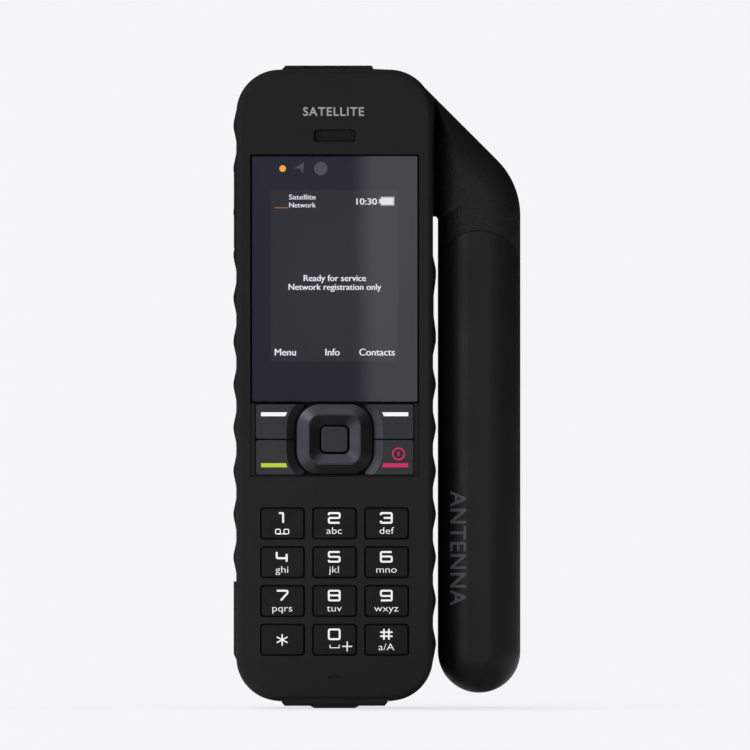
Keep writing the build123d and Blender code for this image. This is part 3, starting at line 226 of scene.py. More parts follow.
def metal(name, base, rough):
    """Brushed metal: noise stretched by unequal scales, with duller spots."""
    mat, m = start_material(name)
    brushed = m.new("ShaderNodeMapping", {"Scale": (40.0, 40.0, 1200.0), "Vector": m.coords})
    streaks = m.noise(30.0, detail=4.0, rough=0.6, coords=brushed.outputs[0])
    spots = m.noise(500.0, detail=3.0)
    m.principled(Base_Color=m.mix(streaks, shade(base, 0.82), base), Metallic=1.0,
                 Roughness=m.remap(spots, span=(0.3, 0.7), to=(rough - 0.06, rough + 0.1)),
                 Normal=m.bump(streaks, strength=0.5, distance=8e-6))
    return mat


def paint(name, colour, glow=0.0):
    """Printed legend: slightly uneven ink with optional glow, which is the own light of the
    display and LED marks and painted light on keys, face and antenna.
    """
    mat, m = start_material(name)
    uneven = m.noise(5200.0, detail=3.0, rough=0.6)
    col = m.mix(uneven, shade(colour, 0.86), colour)
    m.principled(Base_Color=col, Roughness=0.55, Emission_Color=col, Emission_Strength=glow,
                 Normal=m.bump(uneven, strength=0.4, distance=6e-6))
    return mat


def mesh_screen(name):
    """Woven wire mesh: two crossed wave patterns."""
    wave_rate = 21000.0  # radians per metre
    mat, m = start_material(name)
    place = m.new("ShaderNodeSeparateXYZ", {0: m.coords})
    wave_x, wave_z = [m.math("SINE", m.mul(place.outputs[axis], wave_rate)) for axis in "XZ"]
    height = m.math("MAXIMUM", wave_x, wave_z)
    col = m.ramp(height, [(0.35, (0.004, 0.004, 0.004, 1)), (0.9, (0.05, 0.05, 0.052, 1))])
    m.principled(Base_Color=col, Metallic=0.6, Roughness=0.4,
                 Normal=m.bump(height, strength=0.6, distance=5e-5))
    return mat


def window(name, painted_sheen=0.039):
    """Smoked window: tinted clear sheet, a sharp reflection and a soft painted reflection that
    slides.
    """
    mat, m = start_material(name)
    smudge = m.noise(60.0, detail=4.0, rough=0.55, distort=0.6)
    clear = m.new("ShaderNodeBsdfTransparent", {"Color": (0.86, 0.87, 0.89, 1.0)})
    gloss = m.new("ShaderNodeBsdfGlossy", {
        "Color": (0.95, 0.96, 1.0, 1.0),
        "Roughness": m.remap(smudge, span=(0.35, 0.75), to=(0.02, 0.05))})
    fresnel = m.new("ShaderNodeFresnel", {"IOR": 1.42})
    geo = m.new("ShaderNodeNewGeometry")
    outside = m.math("SUBTRACT", 1.0, geo.outputs["Backfacing"])
    sheet = m.mix_shader(m.mul(fresnel.outputs[0], outside), clear.outputs[0], gloss.outputs[0])
    # painted reflection, emitted by the glass, like the edge of a large softbox: its place
    # shifts with the direction of view
    eye = m.new("ShaderNodeSeparateXYZ", {0: geo.outputs["Incoming"]})
    place = m.new("ShaderNodeSeparateXYZ", {0: m.coords})
    slide = m.add(place.outputs["X"], m.mul(eye.outputs["X"], 0.16))
    slide = m.add(slide, m.mul(place.outputs["Z"], 0.012))
    near = m.remap(slide, span=(0.0046, 0.0116), to=(0.0, 1.0), smooth=True)
    far = m.remap(slide, span=(0.060, 0.080), to=(1.0, 0.0), smooth=True)
    dim = m.remap(place.outputs["Z"], span=(-0.004, 0.060), to=(0.88, 1.0))
    glow = m.mul(m.mul(m.mul(near, far), dim), outside)
    emission = m.new("ShaderNodeEmission", {
        "Color": (0.98, 0.98, 1.0, 1.0), "Strength": m.mul(glow, painted_sheen)})
    m.surface(m.new("ShaderNodeAddShader", {0: sheet, 1: emission.outputs[0]}).outputs[0])
    return mat


def display_panel(name):
    """Printed border and lit screen area behind the window; the screen glows with its own light,
    the border with painted light.
    """
    centre_z = 28.95 * MM
    mat, m = start_material(name)
    place = m.new("ShaderNodeSeparateXYZ", {0: m.coords})
    x, z = place.outputs["X"], place.outputs["Z"]
    grain = m.noise(900.0, detail=3.0)
    # screen area, with edges 0.2 mm soft
    in_x = m.remap(m.math("ABSOLUTE", x), span=(16.65 * MM, 16.85 * MM), to=(1.0, 0.0))
    in_z = m.remap(m.math("ABSOLUTE", m.math("SUBTRACT", z, centre_z)),
                   span=(22.4 * MM, 22.6 * MM), to=(1.0, 0.0))
    mask = m.mul(in_x, in_z)
    # squared distance from the centre, scaled per axis: the corners are a little darker
    fall = m.add(m.math("POWER", m.mul(x, 30.0), 2.0),
                 m.math("POWER", m.mul(m.math("SUBTRACT", z, centre_z), 22.0), 2.0))
    # the border glows with painted light, lighter towards the top
    border_print_glow = m.mix(m.remap(z, span=(-4 * MM, 60 * MM), to=(0.0, 1.0)),
                   srgb(33, 36, 45), srgb(38, 41, 51))
    screen = m.mix(m.remap(fall, span=(0.0, 0.5), to=(0.0, 1.0)),
                   srgb(53, 54, 59), srgb(48, 49, 55))
    col = m.mix(mask, border_print_glow, screen)
    cloud = m.noise(45.0, detail=2.0)
    col = m.mix(m.mul(cloud, 0.10), col, (0.0, 0.0, 0.0, 1.0))
    m.principled(Base_Color=(0.006, 0.006, 0.007, 1.0), Emission_Color=col,
                 Roughness=m.remap(grain, span=(0.3, 0.7), to=(0.42, 0.5)),
                 Emission_Strength=1.06, Specular_IOR_Level=0.04)
    return mat


# ------------------------------------------------------------------ looks of the CAD pieces
def dress(mat, pieces):
    """Gives the material to each piece in a space-separated list."""
    for piece in pieces.split():
        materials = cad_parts[piece].data.materials
        materials.clear()
        materials.append(mat)


# painted shade in the gaps around the keys and openings
dress(plastic("front_softtouch", srgb(26, 26, 27), rough=0.55, spec=0.28, grain=3000.0,
              grain_depth=1e-5, mottling=140.0, wear=0.12, gap_shade_reach=0.0016), "front_housing")
dress(plastic("rear_textured", srgb(32, 32, 33), rough=0.6, spec=0.3, grain=1900.0,
              grain_depth=28e-6, mottling=120.0, wear=0.15), "rear_housing battery_cover")
dress(plastic("keycap_black", srgb(24, 24, 25), rough=0.5, spec=0.22, grain=3400.0,
              grain_depth=7e-6, mottling=260.0),
      "key_1 key_2 key_3 key_4 key_5 key_6 key_7 key_8 key_9 key_star key_0 key_hash")
# nav keys: painted shade in their gaps, and painted light and shade by facing
dress(plastic("nav_charcoal", srgb(32, 33, 39), rough=0.33, spec=0.5, gap_shade_reach=0.0035, painted_slope_light=0.8,
              grain=3800.0, grain_depth=4e-6, mottling=300.0),
      "soft_key_left soft_key_right call_key end_key nav_ring nav_select_key")
dress(plastic("grip_rubber", srgb(30, 30, 31), rough=0.72, spec=0.3, grain=1500.0,
              grain_depth=35e-6, mottling=240.0, tint=0.2),
      "left_grip right_grip volume_rocker tracking_key")
dress(plastic("cover_rubber", srgb(33, 33, 34), rough=0.68, spec=0.3, grain=1900.0,
              grain_depth=22e-6, mottling=200.0), "side_port_cover usb_cover sos_cover")
dress(plastic("seal_rubber", srgb(70, 70, 73), rough=0.7, grain=2000.0),
      "housing_seal battery_cover_seal")
dress(leather("arm_leather_rubber", srgb(22, 22, 23), rough=0.5), "antenna_arm")
dress(plastic("radome_satin", srgb(18, 18, 20), rough=0.44, spec=0.34, grain=3600.0,
              grain_depth=4e-6, mottling=90.0, tint=0.08), "antenna_radome")
dress(plastic("silicone_grey", srgb(30, 30, 31), rough=0.6, grain=900.0), "keypad_mat")
dress(plastic("solder_mask", srgb(24, 92, 58), rough=0.35, coat=0.3, grain=1200.0),
      "main_board")
dress(plastic("black_frame", srgb(38, 38, 39), rough=0.45),
      "nav_carrier earpiece_speaker loudspeaker microphone headset_jack display_module")
dress(plastic("sos_red", srgb(196, 44, 36), rough=0.42, spec=0.4, grain=2600.0), "sos_button")
dress(plastic("battery_case", srgb(58, 60, 64), rough=0.5, grain=1800.0), "battery_pack")
dress(plastic("card_white", srgb(226, 226, 220), rough=0.45, grain=2600.0, tint=0.03),
      "sim_card")
dress(plastic("former_pale", srgb(214, 206, 184), rough=0.5), "antenna_helix")
dress(plastic("coax_jacket", srgb(48, 38, 32), rough=0.5), "antenna_coax")
dress(metal("bare_steel", (0.62, 0.62, 0.61, 1.0), rough=0.3),
      "dome_switches vibration_motor hinge_shaft hinge_nut sim_holder")
dress(metal("tinned_sheet", (0.7, 0.7, 0.68, 1.0), rough=0.34),
      "shield_cans usb_connector antenna_socket")
dress(metal("black_steel", (0.10, 0.10, 0.105, 1.0), rough=0.36),
      "housing_screws battery_cover_screw")
dress(metal("gold_plate", (0.83, 0.62, 0.24, 1.0), rough=0.24), "battery_contacts")
dress(metal("bronze", (0.52, 0.33, 0.16, 1.0), rough=0.34), "hinge_bushing")
dress(metal("heavy_metal", (0.32, 0.32, 0.33, 1.0), rough=0.5), "vibration_weight")
dress(window("smoked_window"), "display_window")
dress(mesh_screen("wire_mesh"), "earpiece_mesh")


# ------------------------------------------------------------------ tools for printed marks
PRINT_HALF = 0.02  # half the thickness of a print


def add_part(name, mesh, mat, body):
    """Object with one material that rides on a body."""
    obj = bpy.data.objects.new(name, mesh)
    scene.collection.objects.link(obj)
    mesh.materials.clear()
    mesh.materials.append(mat)
    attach(obj, body)
    return obj


def bmesh_to_mesh(bm, mesh):
    bm.to_mesh(mesh)
    bm.free()
    return mesh


def curve_to_mesh(name, curve):
    temp = bpy.data.objects.new(name + "_tmp", curve)
    scene.collection.objects.link(temp)
    bpy.context.view_layer.update()
    graph = bpy.context.evaluated_depsgraph_get()
    mesh = bpy.data.meshes.new_from_object(temp.evaluated_get(graph))
    bpy.data.objects.remove(temp)
    return mesh


def text_mesh(name, text, size, **props):
    """Lettering in the XY plane, in metres; size is the capital height in mm."""
    curve = bpy.data.curves.new(name, "FONT")
    curve.body = text
    curve.size = size / 0.69 * MM  # capitals are 0.69 of the font size
    curve.extrude = PRINT_HALF * MM
    curve.resolution_u = 4
    for key, value in props.items():
        setattr(curve, key, value)
    return curve_to_mesh(name, curve)


def ribbon(name, lines, width, depth, body, mat, at):
    """Strokes along lists of (x, z); a line that ends where it starts is closed."""
    curve = bpy.data.curves.new(name, "CURVE")
    curve.dimensions = "3D"
    curve.bevel_depth = width / 2 * MM
    curve.bevel_resolution = 3
    curve.use_fill_caps = True
    for points in lines:
        closed = len(points) > 2 and math.dist(points[0], points[-1]) < 1e-6
        if closed:
            points = points[:-1]
        spline = curve.splines.new("POLY")
        spline.points.add(len(points) - 1)
        for point, (x, z) in zip(spline.points, points):
            point.co = ((at[0] + x) * MM, 0.0, (at[1] + z) * MM, 1.0)
        spline.use_cyclic_u = closed
    mesh = curve_to_mesh(name, curve)
    # flatten the round stroke to the print thickness
    flat = PRINT_HALF / (width / 2)
    for v in mesh.vertices:
        v.co.y = v.co.y * flat - depth * MM
    for face in mesh.polygons:
        face.use_smooth = True
    add_part(name, mesh, mat, body)


def rounded(points, radius, closed=False):
    """Rounds the corners of a stroke."""
    if closed:
        ring = points[:-1]
        out = []
        for i in range(len(ring)):
            out += corner(ring[i - 1], ring[i], ring[(i + 1) % len(ring)], radius)
        return out + [out[0]]
    out = [points[0]]
    for before, tip, after in zip(points, points[1:], points[2:]):
        out += corner(before, tip, after, radius)
    return out + [points[-1]]


def corner(before, tip, after, radius, steps=4):
    """Quadratic curve that replaces the corner at tip."""
    arms = [(p[0] - tip[0], p[1] - tip[1]) for p in (before, after)]
    lengths = [math.hypot(*arm) for arm in arms]
    cut = min(radius, *(length * 0.45 for length in lengths))
    start, end = [(tip[0] + arm[0] / length * cut, tip[1] + arm[1] / length * cut)
                  for arm, length in zip(arms, lengths)]
    out = []
    for i in range(steps + 1):
        s = i / steps
        out.append(tuple((1 - s) ** 2 * start[k] + 2 * s * (1 - s) * tip[k] + s * s * end[k]
                         for k in range(2)))
    return out


def circle(x, z, radius, count):
    angles = [math.radians(360 * k / count) for k in range(count)]
    return [(x + radius * math.cos(a), z + radius * math.sin(a)) for a in angles]


def rect(x0, x1, z0, z1):
    return [(x0, z0), (x1, z0), (x1, z1), (x0, z1)]


def plate(name, outline, depth, body, mat, half=PRINT_HALF):
    """Flat patch inside a closed outline of (x, z); half is half its thickness."""
    bm = bmesh.new()
    low, high = [[bm.verts.new((x * MM, -d * MM, z * MM)) for x, z in outline]
                 for d in (depth - half, depth + half)]
    bm.faces.new(high)
    bm.faces.new(list(reversed(low)))
    for i in range(len(outline)):
        j = (i + 1) % len(outline)
        bm.faces.new((low[i], low[j], high[j], high[i]))
    bmesh.ops.recalc_face_normals(bm, faces=bm.faces)
    add_part(name, bmesh_to_mesh(bm, bpy.data.meshes.new(name)), mat, body)


def words(name, text, size, at, depth, body, mat, align="CENTER", spacing=1.0, bold=0.0,
          squeeze=1.0, heavy=0.0):
    """Lettering on a face that looks along -Y.

    bold offsets the outlines, squeeze scales the width, heavy adds copies shifted by +-heavy.
    """
    mesh = text_mesh(name, text, size, align_x=align, align_y="BOTTOM_BASELINE",
                     space_character=spacing, offset=bold * MM)
    for v in mesh.vertices:
        x, z, out = v.co
        v.co = (at[0] * MM + x * squeeze, -depth * MM - out, at[1] * MM + z)
    if heavy > 0:
        bm = bmesh.new()
        bm.from_mesh(mesh)
        base = bm.verts[:] + bm.edges[:] + bm.faces[:]
        for k, shift in enumerate((-heavy, heavy)):
            for item in bmesh.ops.duplicate(bm, geom=base)["geom"]:
                if isinstance(item, bmesh.types.BMVert):
                    item.co.x += shift * MM
                    item.co.y -= 0.000001 * (k + 1)  # keeps the copies from coinciding
        bmesh_to_mesh(bm, mesh)
    return add_part(name, mesh, mat, body)


def words_back(name, text, size, at, depth, body, mat):
    """Lettering on a face that looks along +Y."""
    obj = words(name, text, size, (0.0, 0.0), 0.0, body, mat)
    for v in obj.data.vertices:
        x, y, z = v.co
        v.co = (at[0] * MM - x, -depth * MM - y, at[1] * MM + z)


# ------------------------------------------------------------------ keypad marks
KEYTOP_DEPTH = 34.98
KEY_PITCH_X = 13.65
MARK_SHIFT_X = -0.1   # marks sit slightly toward -X of the key centres
DIGIT_RISE = 1.42     # digit centre above the key's reference height
LETTER_DROP = 2.75    # letter baseline below it
KEY_ROWS = (("1", "2", "3"), ("4", "5", "6"), ("7", "8", "9"), ("star", "0", "hash"))
KEY_ROW_Z = (-35.95, -46.15, -56.3, -66.45)
LETTERS = {"2": "abc", "3": "def", "4": "ghi", "5": "jkl", "6": "mno", "7": "pqrs", "8": "tuv",
           "9": "wxyz"}
STROKE = 0.52
STROKES = {"star": 0.36, "hash": 0.44}  # thinner signs

# the glow of the key, face and antenna inks is painted light
ink = paint("ink_white", srgb(238, 240, 242), glow=0.62)
ink_grey = paint("ink_grey", srgb(190, 191, 193), glow=0.12)
ink_dim = paint("ink_dark_grey", srgb(95, 96, 100), glow=0.03)
ink_green = paint("ink_green", srgb(206, 226, 60), glow=0.3)
ink_red = paint("ink_red", srgb(222, 38, 104), glow=0.3)


def digit_strokes():
    """Centre lines of each key's main sign, (x, z) about its centre."""
    right, top = 2.84 / 2, 2.54 / 2
    left, base = -right, -top
    box = [(left, top), (right, top), (right, base), (left, base), (left, top)]
    return {
        "1": [rounded([(-0.85, top), (0.25, top), (0.25, base)], 0.2)],
        "2": [rounded([(left, top - 0.55), (left, top), (right, top), (right, 0.0),
                       (left, 0.0), (left, base), (right, base)], 0.35)],
        "3": [rounded([(left, top - 0.55), (left, top), (right, top), (right, base),
                       (left, base), (left, base + 0.55)], 0.35),
              [(-0.7, 0.0), (right, 0.0)]],
        "4": [rounded([(left, top), (left, -0.35), (right, -0.35)], 0.3),
              [(right - 0.25, 0.75), (right - 0.25, base)]],
        "5": [rounded([(right, top), (left, top), (left, 0.0), (right, 0.0), (right, base),
                       (left, base), (left, base + 0.45)], 0.35)],
        "6": [rounded([(right, top), (left, top), (left, base), (right, base), (right, 0.1),
                       (left, 0.1)], 0.35)],
        "7": [rounded([(left, top), (right, top), (right, top - 0.6), (-0.35, base)], 0.3)],
        "8": [rounded(box, 0.35, closed=True), [(left, 0.05), (right, 0.05)]],
        "9": [rounded([(right, -0.1), (left, -0.1), (left, top), (right, top), (right, base),
                       (left, base)], 0.35)],
        "0": [rounded(box, 0.4, closed=True)],
        "star": [[(0, 0.05), (0, -2.95)], [(-1.42, -0.68), (1.42, -2.2)],
                 [(-1.42, -2.2), (1.42, -0.68)]],
        "hash": [[(-0.62, 1.42), (-0.62, -1.42)], [(0.68, 1.42), (0.68, -1.42)],
                 [(-1.62, 0.55), (1.62, 0.55)], [(-1.62, -0.5), (1.62, -0.5)]],
    }


def key_ribbon(name, lines, width, key, at):
    ribbon(name, lines, width, KEYTOP_DEPTH, "key_" + key, ink, at)


def key_letters(name, text, key, x, row_z):
    words(name, text, 1.76, (x, row_z - LETTER_DROP), KEYTOP_DEPTH, "key_" + key, ink,
          squeeze=1.22, bold=-0.02)


digits = digit_strokes()
for row, row_z in zip(KEY_ROWS, KEY_ROW_Z):
    for column, key in zip((-1, 0, 1), row):
        x = column * KEY_PITCH_X + MARK_SHIFT_X
        key_ribbon("digit_" + key, digits[key], STROKES.get(key, STROKE), key,
                   (x, row_z + DIGIT_RISE))
        if key in LETTERS:
            key_letters("letters_" + key, LETTERS[key], key, x, row_z)

# voicemail: two loops on a common base line
loop = rounded([(-0.62, 0.6), (0.62, 0.6), (0.62, -0.6), (-0.62, -0.6), (-0.62, 0.6)], 0.3,
               closed=True)
key_ribbon("sign_voicemail",
           [[(x - 1.1, z) for x, z in loop], [(x + 1.1, z) for x, z in loop],
            [(-1.1, -0.6), (1.1, -0.6)]],
           0.27, "1", (-KEY_PITCH_X + MARK_SHIFT_X, KEY_ROW_Z[0] - 2.15))
zero_sign_z = KEY_ROW_Z[3] - 1.75
key_ribbon("sign_space", [[(-1.2, 0.4), (-1.2, -0.35), (1.2, -0.35), (1.2, 0.4)]], 0.3, "0",
           (0.0, zero_sign_z))
key_ribbon("sign_plus", [[(0.0, 1.3), (0.0, -1.3)], [(-1.3, 0.0), (1.3, 0.0)]], 0.32, "0",
           (3.3, zero_sign_z))
key_letters("sign_case", "a/A", "hash", KEY_PITCH_X + MARK_SHIFT_X, KEY_ROW_Z[3])

# ------------------------------------------------------------------ soft, call and end keys
NAV_DEPTH = 34.77
# bar outlines (x, z) on the +X side; the -X side mirrors them
SOFT_BAR = ((19.3, -6.84), (12.43, -6.84), (12.93, -7.87), (19.3, -7.87))
CALL_BAR = ((19.3, -20.18), (12.75, -20.18), (12.4, -21.26), (19.3, -21.26))
for name, body, mat, side, outline in (
        ("bar_soft_left", "soft_key_left", ink, -1, SOFT_BAR),
        ("bar_soft_right", "soft_key_right", ink, 1, SOFT_BAR),
        ("bar_call", "call_key", ink_green, -1, CALL_BAR),
        ("bar_end", "end_key", ink_red, 1, CALL_BAR)):
    plate(name, [(side * x, z) for x, z in outline], NAV_DEPTH, body, mat)
power_ring = circle(0, 0, 1.5, 36)
ribbon("sign_power", [power_ring + power_ring[:1], [(0, 0.6), (0, -0.6)]], 0.42, NAV_DEPTH,
       "end_key", ink_red, at=(16.75, -17.75))

# ------------------------------------------------------------------ words on face and antenna
words("word_face", "SATELLITE", 2.2, (-0.3, 70.9), 35.005, "handset", ink_grey,
      spacing=1.12, bold=0.05)


def antenna_word(name, text, size, base_x, start_z):
    """Lettering that reads downward on the front of the antenna and follows its curve."""
    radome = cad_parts["antenna_radome"].data
    skin = BVHTree.FromPolygons([v.co for v in radome.vertices],
                                [tuple(p.vertices) for p in radome.polygons])
    mesh = text_mesh(name, text, size, space_character=1.1, offset=0.08 * MM)
    bm = bmesh.new()
    bm.from_mesh(mesh)
    # cut the letters into strips so that they can bend
    strips = 20
    for k in range(1, strips):
        bmesh.ops.bisect_plane(bm, geom=bm.verts[:] + bm.edges[:] + bm.faces[:],
                               plane_co=(0, size * MM * k / strips, 0), plane_no=(0, 1, 0))
    for v in bm.verts:
        x, z = base_x * MM + v.co.y, start_z * MM - v.co.x
        hit = skin.ray_cast(Vector((x, -0.1, z)), Vector((0.0, 1.0, 0.0)))[0]
        v.co = (x, hit.y - 0.000008 - v.co.z, z)
    add_part(name, bmesh_to_mesh(bm, mesh), ink_dim, "antenna")


antenna_word("word_antenna", "ANTENNA", size=4.05, base_x=30.4, start_z=-27.6)

# ------------------------------------------------------------------ display
LCD_DEPTH = 33.742
SOFT_LABEL_X, SOFT_LABEL_Z = 15.85, 8.05
SOFT_LABEL_SIZE = 1.78
STATUS_Z = 57.05
LED_X = -13.63

lcd_ink = paint("lcd_white", srgb(225, 228, 232), glow=0.75)
lcd_orange = paint("lcd_orange", srgb(196, 120, 66), glow=0.3)
led = paint("led_orange", srgb(244, 160, 62), glow=0.9)
led_ring = paint("led_ring", srgb(26, 18, 14))
icon_light = paint("icon_light", srgb(140, 142, 148), glow=0.5)
icon = paint("icon_dim", srgb(80, 84, 92), glow=0.38)


def lcd_plate(name, outline, mat, depth=LCD_DEPTH, half=PRINT_HALF):
    plate(name, outline, depth, "handset", mat, half)


def lcd_words(name, text, size, at, align="LEFT", heavy=0.055, squeeze=1.0):
    words(name, text, size, at, LCD_DEPTH, "handset", lcd_ink, align=align,
          heavy=heavy, squeeze=squeeze)


def battery_icon(x0, x1, z0, z1, nub_x, nub_z0, nub_z1):
    """Rectangle with a nub on its -X side."""
    return rect(x0, x1, z0, z1) + [(x0, nub_z1), (nub_x, nub_z1), (nub_x, nub_z0), (x0, nub_z0)]


lcd_plate("display_print", rect(-21.65, 21.65, -4.0, 60.25), display_panel("display_print"),
          depth=33.725, half=0.012)
lcd_words("lcd_line_1", "Satellite", 1.3, (-12.05, 48.95), heavy=0.03, squeeze=1.2)
lcd_words("lcd_line_2", "Network", 1.3, (-12.05, 46.85), heavy=0.03)
lcd_plate("lcd_signal", rect(-15.75, -12.25, 46.65, 46.9), lcd_orange)
lcd_words("lcd_clock", "10:30", 1.65, (5.2, 47.6), squeeze=1.12)
lcd_plate("lcd_battery_edge", battery_icon(11.95, 15.75, 47.25, 49.75, 11.45, 47.8, 49.2),
          icon_light, half=0.012)
lcd_plate("lcd_battery", battery_icon(12.2, 15.45, 47.55, 49.45, 11.75, 48.0, 49.0),
          lcd_ink, depth=LCD_DEPTH + 0.004, half=0.018)
lcd_words("lcd_mid_1", "Ready for service", 1.62, (0, 27.55), "CENTER")
lcd_words("lcd_mid_2", "Network registration only", 1.58, (0, 25.25), "CENTER")
for number, text, x, align in ((1, "Menu", -SOFT_LABEL_X, "LEFT"), (2, "Info", -0.6, "CENTER"),
                               (3, "Contacts", SOFT_LABEL_X, "RIGHT")):
    lcd_words(f"lcd_soft_{number}", text, SOFT_LABEL_SIZE, (x, SOFT_LABEL_Z), align)
lcd_plate("status_led_ring", circle(LED_X, STATUS_Z, 1.2, 24), led_ring,
          depth=LCD_DEPTH - 0.004, half=0.012)
lcd_plate("status_led", circle(LED_X, STATUS_Z, 0.86, 24), led)
lcd_plate("status_arrow", [(-8.0, 58.7), (-8.35, 55.5), (-9.0, 57.0), (-10.6, 57.1)], icon)
lcd_plate("status_round", circle(-3.63, STATUS_Z, 1.75, 36), icon)

# ------------------------------------------------------------------ battery and card labels
LABEL_DEPTH = 2.3
LABEL_WORD_DEPTH = LABEL_DEPTH - 0.022
LABEL_MARK_DEPTH = LABEL_DEPTH - 0.008
label_ink = paint("label_ink", srgb(30, 31, 34))


def label_plate(name, outline, depth=LABEL_MARK_DEPTH, mat=label_ink):
    plate(name, outline, depth, "battery_pack", mat)


label_plate("battery_label",
            [(-16.0, -54.0), (16.0, -54.0), (17.0, -53.0), (17.0, 2.0), (16.0, 3.0),
             (-16.0, 3.0), (-17.0, 2.0), (-17.0, -53.0)],
            depth=LABEL_DEPTH, mat=paint("label_paper", srgb(214, 215, 210)))
for name, text, size, at in (("battery_word", "BATTERY", 3.2, (0.0, -9.0)),
                             ("battery_kind", "Li-ion  3.7 V", 2.2, (0.0, -14.5)),
                             ("battery_plus", "+", 3.4, (-11.0, -3.0)),
                             ("battery_minus", "-", 3.4, (11.0, -3.0))):
    words_back(name, text, size, at, LABEL_WORD_DEPTH, "battery_pack", label_ink)
label_plate("battery_rule", rect(-14.0, 14.0, -17.2, -16.8))
label_plate("battery_arrow", [(-3.0, -44.0), (3.0, -44.0), (3.0, -46.0), (6.5, -46.0),
                              (0.0, -51.0), (-6.5, -46.0), (-3.0, -46.0)])
words_back("card_word", "SIM", 2.6, (0.6, -25.5), 14.0, "sim_drawer", label_ink)


# ------------------------------------------------------------------ antenna joint
def joint_shade_bead(name, mat):
    """Bead in the curved joint between antenna arm and radome, inside the rounded section: a
    dark fill that paints the shade in the groove.
    """
    centre_x, centre_z = 37.93, 29.5
    inner, outer = 11.26, 11.37              # radii of the bead
    half_width, corner_radius = 10.83, 8.0   # section of the antenna
    flat = half_width - corner_radius
    back, front = 0.2, 26.8                  # depths of the section
    steps, start, sweep = 72, 20, 140        # arc, in degrees
    bm = bmesh.new()
    rows = []
    for k in range(steps + 1):
        angle = math.radians(start + sweep * k / steps)
        across = min(abs(outer * math.cos(angle)), half_width - 0.02)
        rise = math.sqrt(max(0.0, corner_radius ** 2 - max(0.0, across - flat) ** 2))
        inset = corner_radius - rise + 0.25
        rows.append([bm.verts.new(((centre_x + radius * math.cos(angle)) * MM, -depth * MM,
                                   (centre_z + radius * math.sin(angle)) * MM))
                     for radius, depth in ((inner, back + inset), (outer, back + inset),
                                           (outer, front - inset), (inner, front - inset))])
    for row, following in zip(rows, rows[1:]):
        for k in range(4):
            j = (k + 1) % 4
            bm.faces.new((row[k], row[j], following[j], following[k]))
    bm.faces.new(rows[0])
    bm.faces.new(list(reversed(rows[-1])))
    bmesh.ops.recalc_face_normals(bm, faces=bm.faces)
    add_part(name, bmesh_to_mesh(bm, bpy.data.meshes.new(name)), mat, "antenna")


# near-black bead: painted shade in the groove between arm and radome
joint_shade_bead("radome_joint_shade", plastic("joint_shade_black", srgb(12, 12, 12), rough=0.8, spec=0.1,
                                  grain=2400.0))

# ------------------------------------------------------------------ stage, in metres
LIGHT_TARGET = Vector((0.01, -0.02, 0.0))
# name, location, size, power, seen in reflections
LIGHTS = (
    ("key_light", (-1.15, -0.9, 0.95), 0.6, 3.6, True),
    ("fill_light", (-0.50, -2.0, 0.15), 0.75, 4.0, True),
    ("top_light", (-0.25, -0.2, 1.2), 0.6, 1.2, True),
    ("back_light", (-0.5, 1.2, 0.7), 0.8, 26.0, False),
    ("side_light", (0.75, 1.6, 0.3), 0.8, 8.0, False),
)
BACKDROP = srgb(245, 245, 247)
FLOOR_Z = rest_bounds[0][2] - 0.00003  # just below the lowest point
FLOOR_CENTRE = (0.01, -0.015)
FLOOR_RADII = (0.06, 0.15, 0.3, 0.6)
FLOOR_SEGMENTS = 96
CAMERA_DISTANCE = 7.0
FRAME_WIDTH = 0.19657  # width seen at the aimed plane
SENSOR_WIDTH = 36.0    # mm

for name, location, size, power, glossy in LIGHTS:
    light = bpy.data.lights.new(name, "AREA")
    light.energy = power
    light.size = size
    lamp = bpy.data.objects.new(name, light)
    scene.collection.objects.link(lamp)
    lamp.location = location
    aim = LIGHT_TARGET - Vector(location)
    lamp.rotation_euler = aim.to_track_quat("-Z", "Y").to_euler()
    lamp.visible_glossy = glossy


def floor_material(name):
    """Pale paper with soft shading near the object that runs out into the backdrop."""
    mat, m = start_material(name)
    place = m.new("ShaderNodeSeparateXYZ", {0: m.coords})
    squares = [m.math("POWER", place.outputs[axis], 2.0) for axis in "XY"]
    radius = m.math("SQRT", m.add(*squares))
    fade = m.remap(radius, span=(0.02, 0.13), to=(0.74, 1.0), smooth=True)
    fibre = m.noise(1400.0, detail=4.0, rough=0.6)
    paper = m.new("ShaderNodeBsdfDiffuse", {
        "Color": m.mix(fibre, srgb(238, 238, 240), srgb(250, 250, 251)),
        "Normal": m.bump(fibre, strength=0.3, distance=2e-5)})
    far = m.new("ShaderNodeEmission", {"Color": BACKDROP})
    camera_ray = m.new("ShaderNodeLightPath").outputs["Is Camera Ray"]
    above = m.mix_shader(m.mul(fade, camera_ray), paper.outputs[0], far.outputs[0])
    # the camera sees nothing of the paper from below
    clear = m.new("ShaderNodeBsdfTransparent")
    geo = m.new("ShaderNodeNewGeometry")
    below = m.mul(geo.outputs["Backfacing"], camera_ray)
    m.surface(m.mix_shader(below, above, clear.outputs[0]))
    return mat


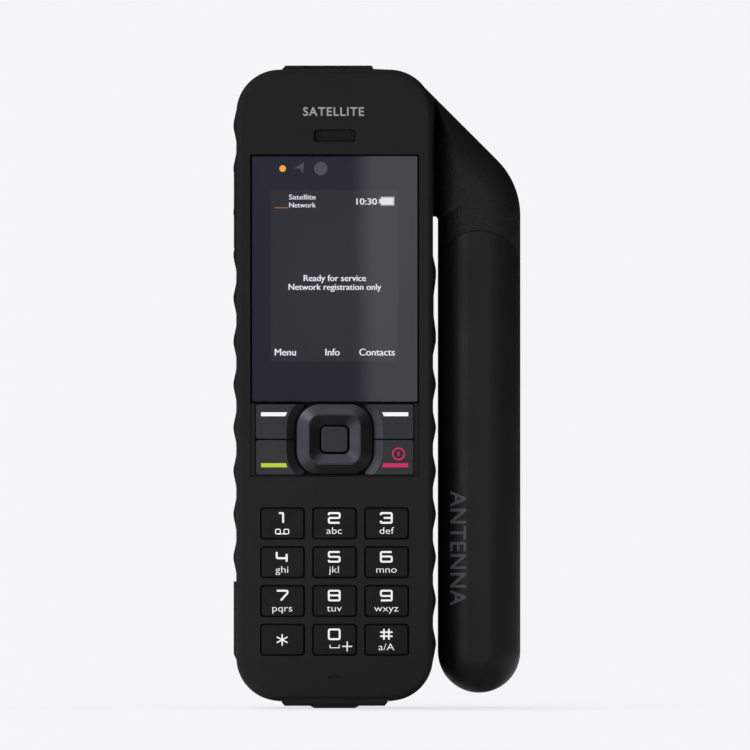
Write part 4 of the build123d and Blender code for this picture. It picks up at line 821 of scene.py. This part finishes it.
def build_floor():
    """Disc made of a centre face and rings of quads."""
    bm = bmesh.new()
    rings = []
    for radius in FLOOR_RADII:
        angles = [k * math.pi / (FLOOR_SEGMENTS / 2) for k in range(FLOOR_SEGMENTS)]
        rings.append([bm.verts.new((FLOOR_CENTRE[0] + radius * math.cos(a),
                                    FLOOR_CENTRE[1] + radius * math.sin(a), FLOOR_Z))
                      for a in angles])
    bm.faces.new(rings[0])
    for inner, outer in zip(rings, rings[1:]):
        for k in range(FLOOR_SEGMENTS):
            j = (k + 1) % FLOOR_SEGMENTS
            bm.faces.new((inner[k], outer[k], outer[j], inner[j]))
    mesh = bmesh_to_mesh(bm, bpy.data.meshes.new("floor"))
    mesh.materials.append(floor_material("floor_paper"))
    floor = bpy.data.objects.new("floor", mesh)
    scene.collection.objects.link(floor)


def build_world():
    """Plain backdrop for the camera; a soft glow from -X, -Y and above lights the object."""
    world = bpy.data.worlds.new("studio")
    scene.world = world
    w = Nodes(world, "ShaderNodeOutputWorld")
    seen = w.new("ShaderNodeBackground", {"Color": BACKDROP})
    toward = w.new("ShaderNodeVectorMath",
                   {0: w.tex_coord.outputs["Generated"], 1: (-0.5, -0.6, 0.62)},
                   operation="DOT_PRODUCT").outputs["Value"]
    lit = w.new("ShaderNodeBackground", {
        "Color": (0.96, 0.97, 1.0, 1.0),
        "Strength": w.remap(toward, span=(-0.4, 1.0), to=(0.02, 0.32), smooth=True)})
    camera_ray = w.new("ShaderNodeLightPath").outputs["Is Camera Ray"]
    w.surface(w.mix_shader(camera_ray, lit.outputs[0], seen.outputs[0]))


def build_camera():
    """Long lens that looks along +Y."""
    data = bpy.data.cameras.new("camera")
    camera = bpy.data.objects.new("camera", data)
    scene.collection.objects.link(camera)
    data.sensor_width = SENSOR_WIDTH
    data.lens = SENSOR_WIDTH * CAMERA_DISTANCE / FRAME_WIDTH
    data.clip_start = 0.01
    camera.location = (0.01058, -0.035 - CAMERA_DISTANCE, 0.00293)
    camera.rotation_euler = (math.radians(90), 0.0, 0.0)
    scene.camera = camera


build_floor()
build_world()
scene.view_settings.view_transform = "Standard"
scene.view_settings.look = "None"
build_camera()
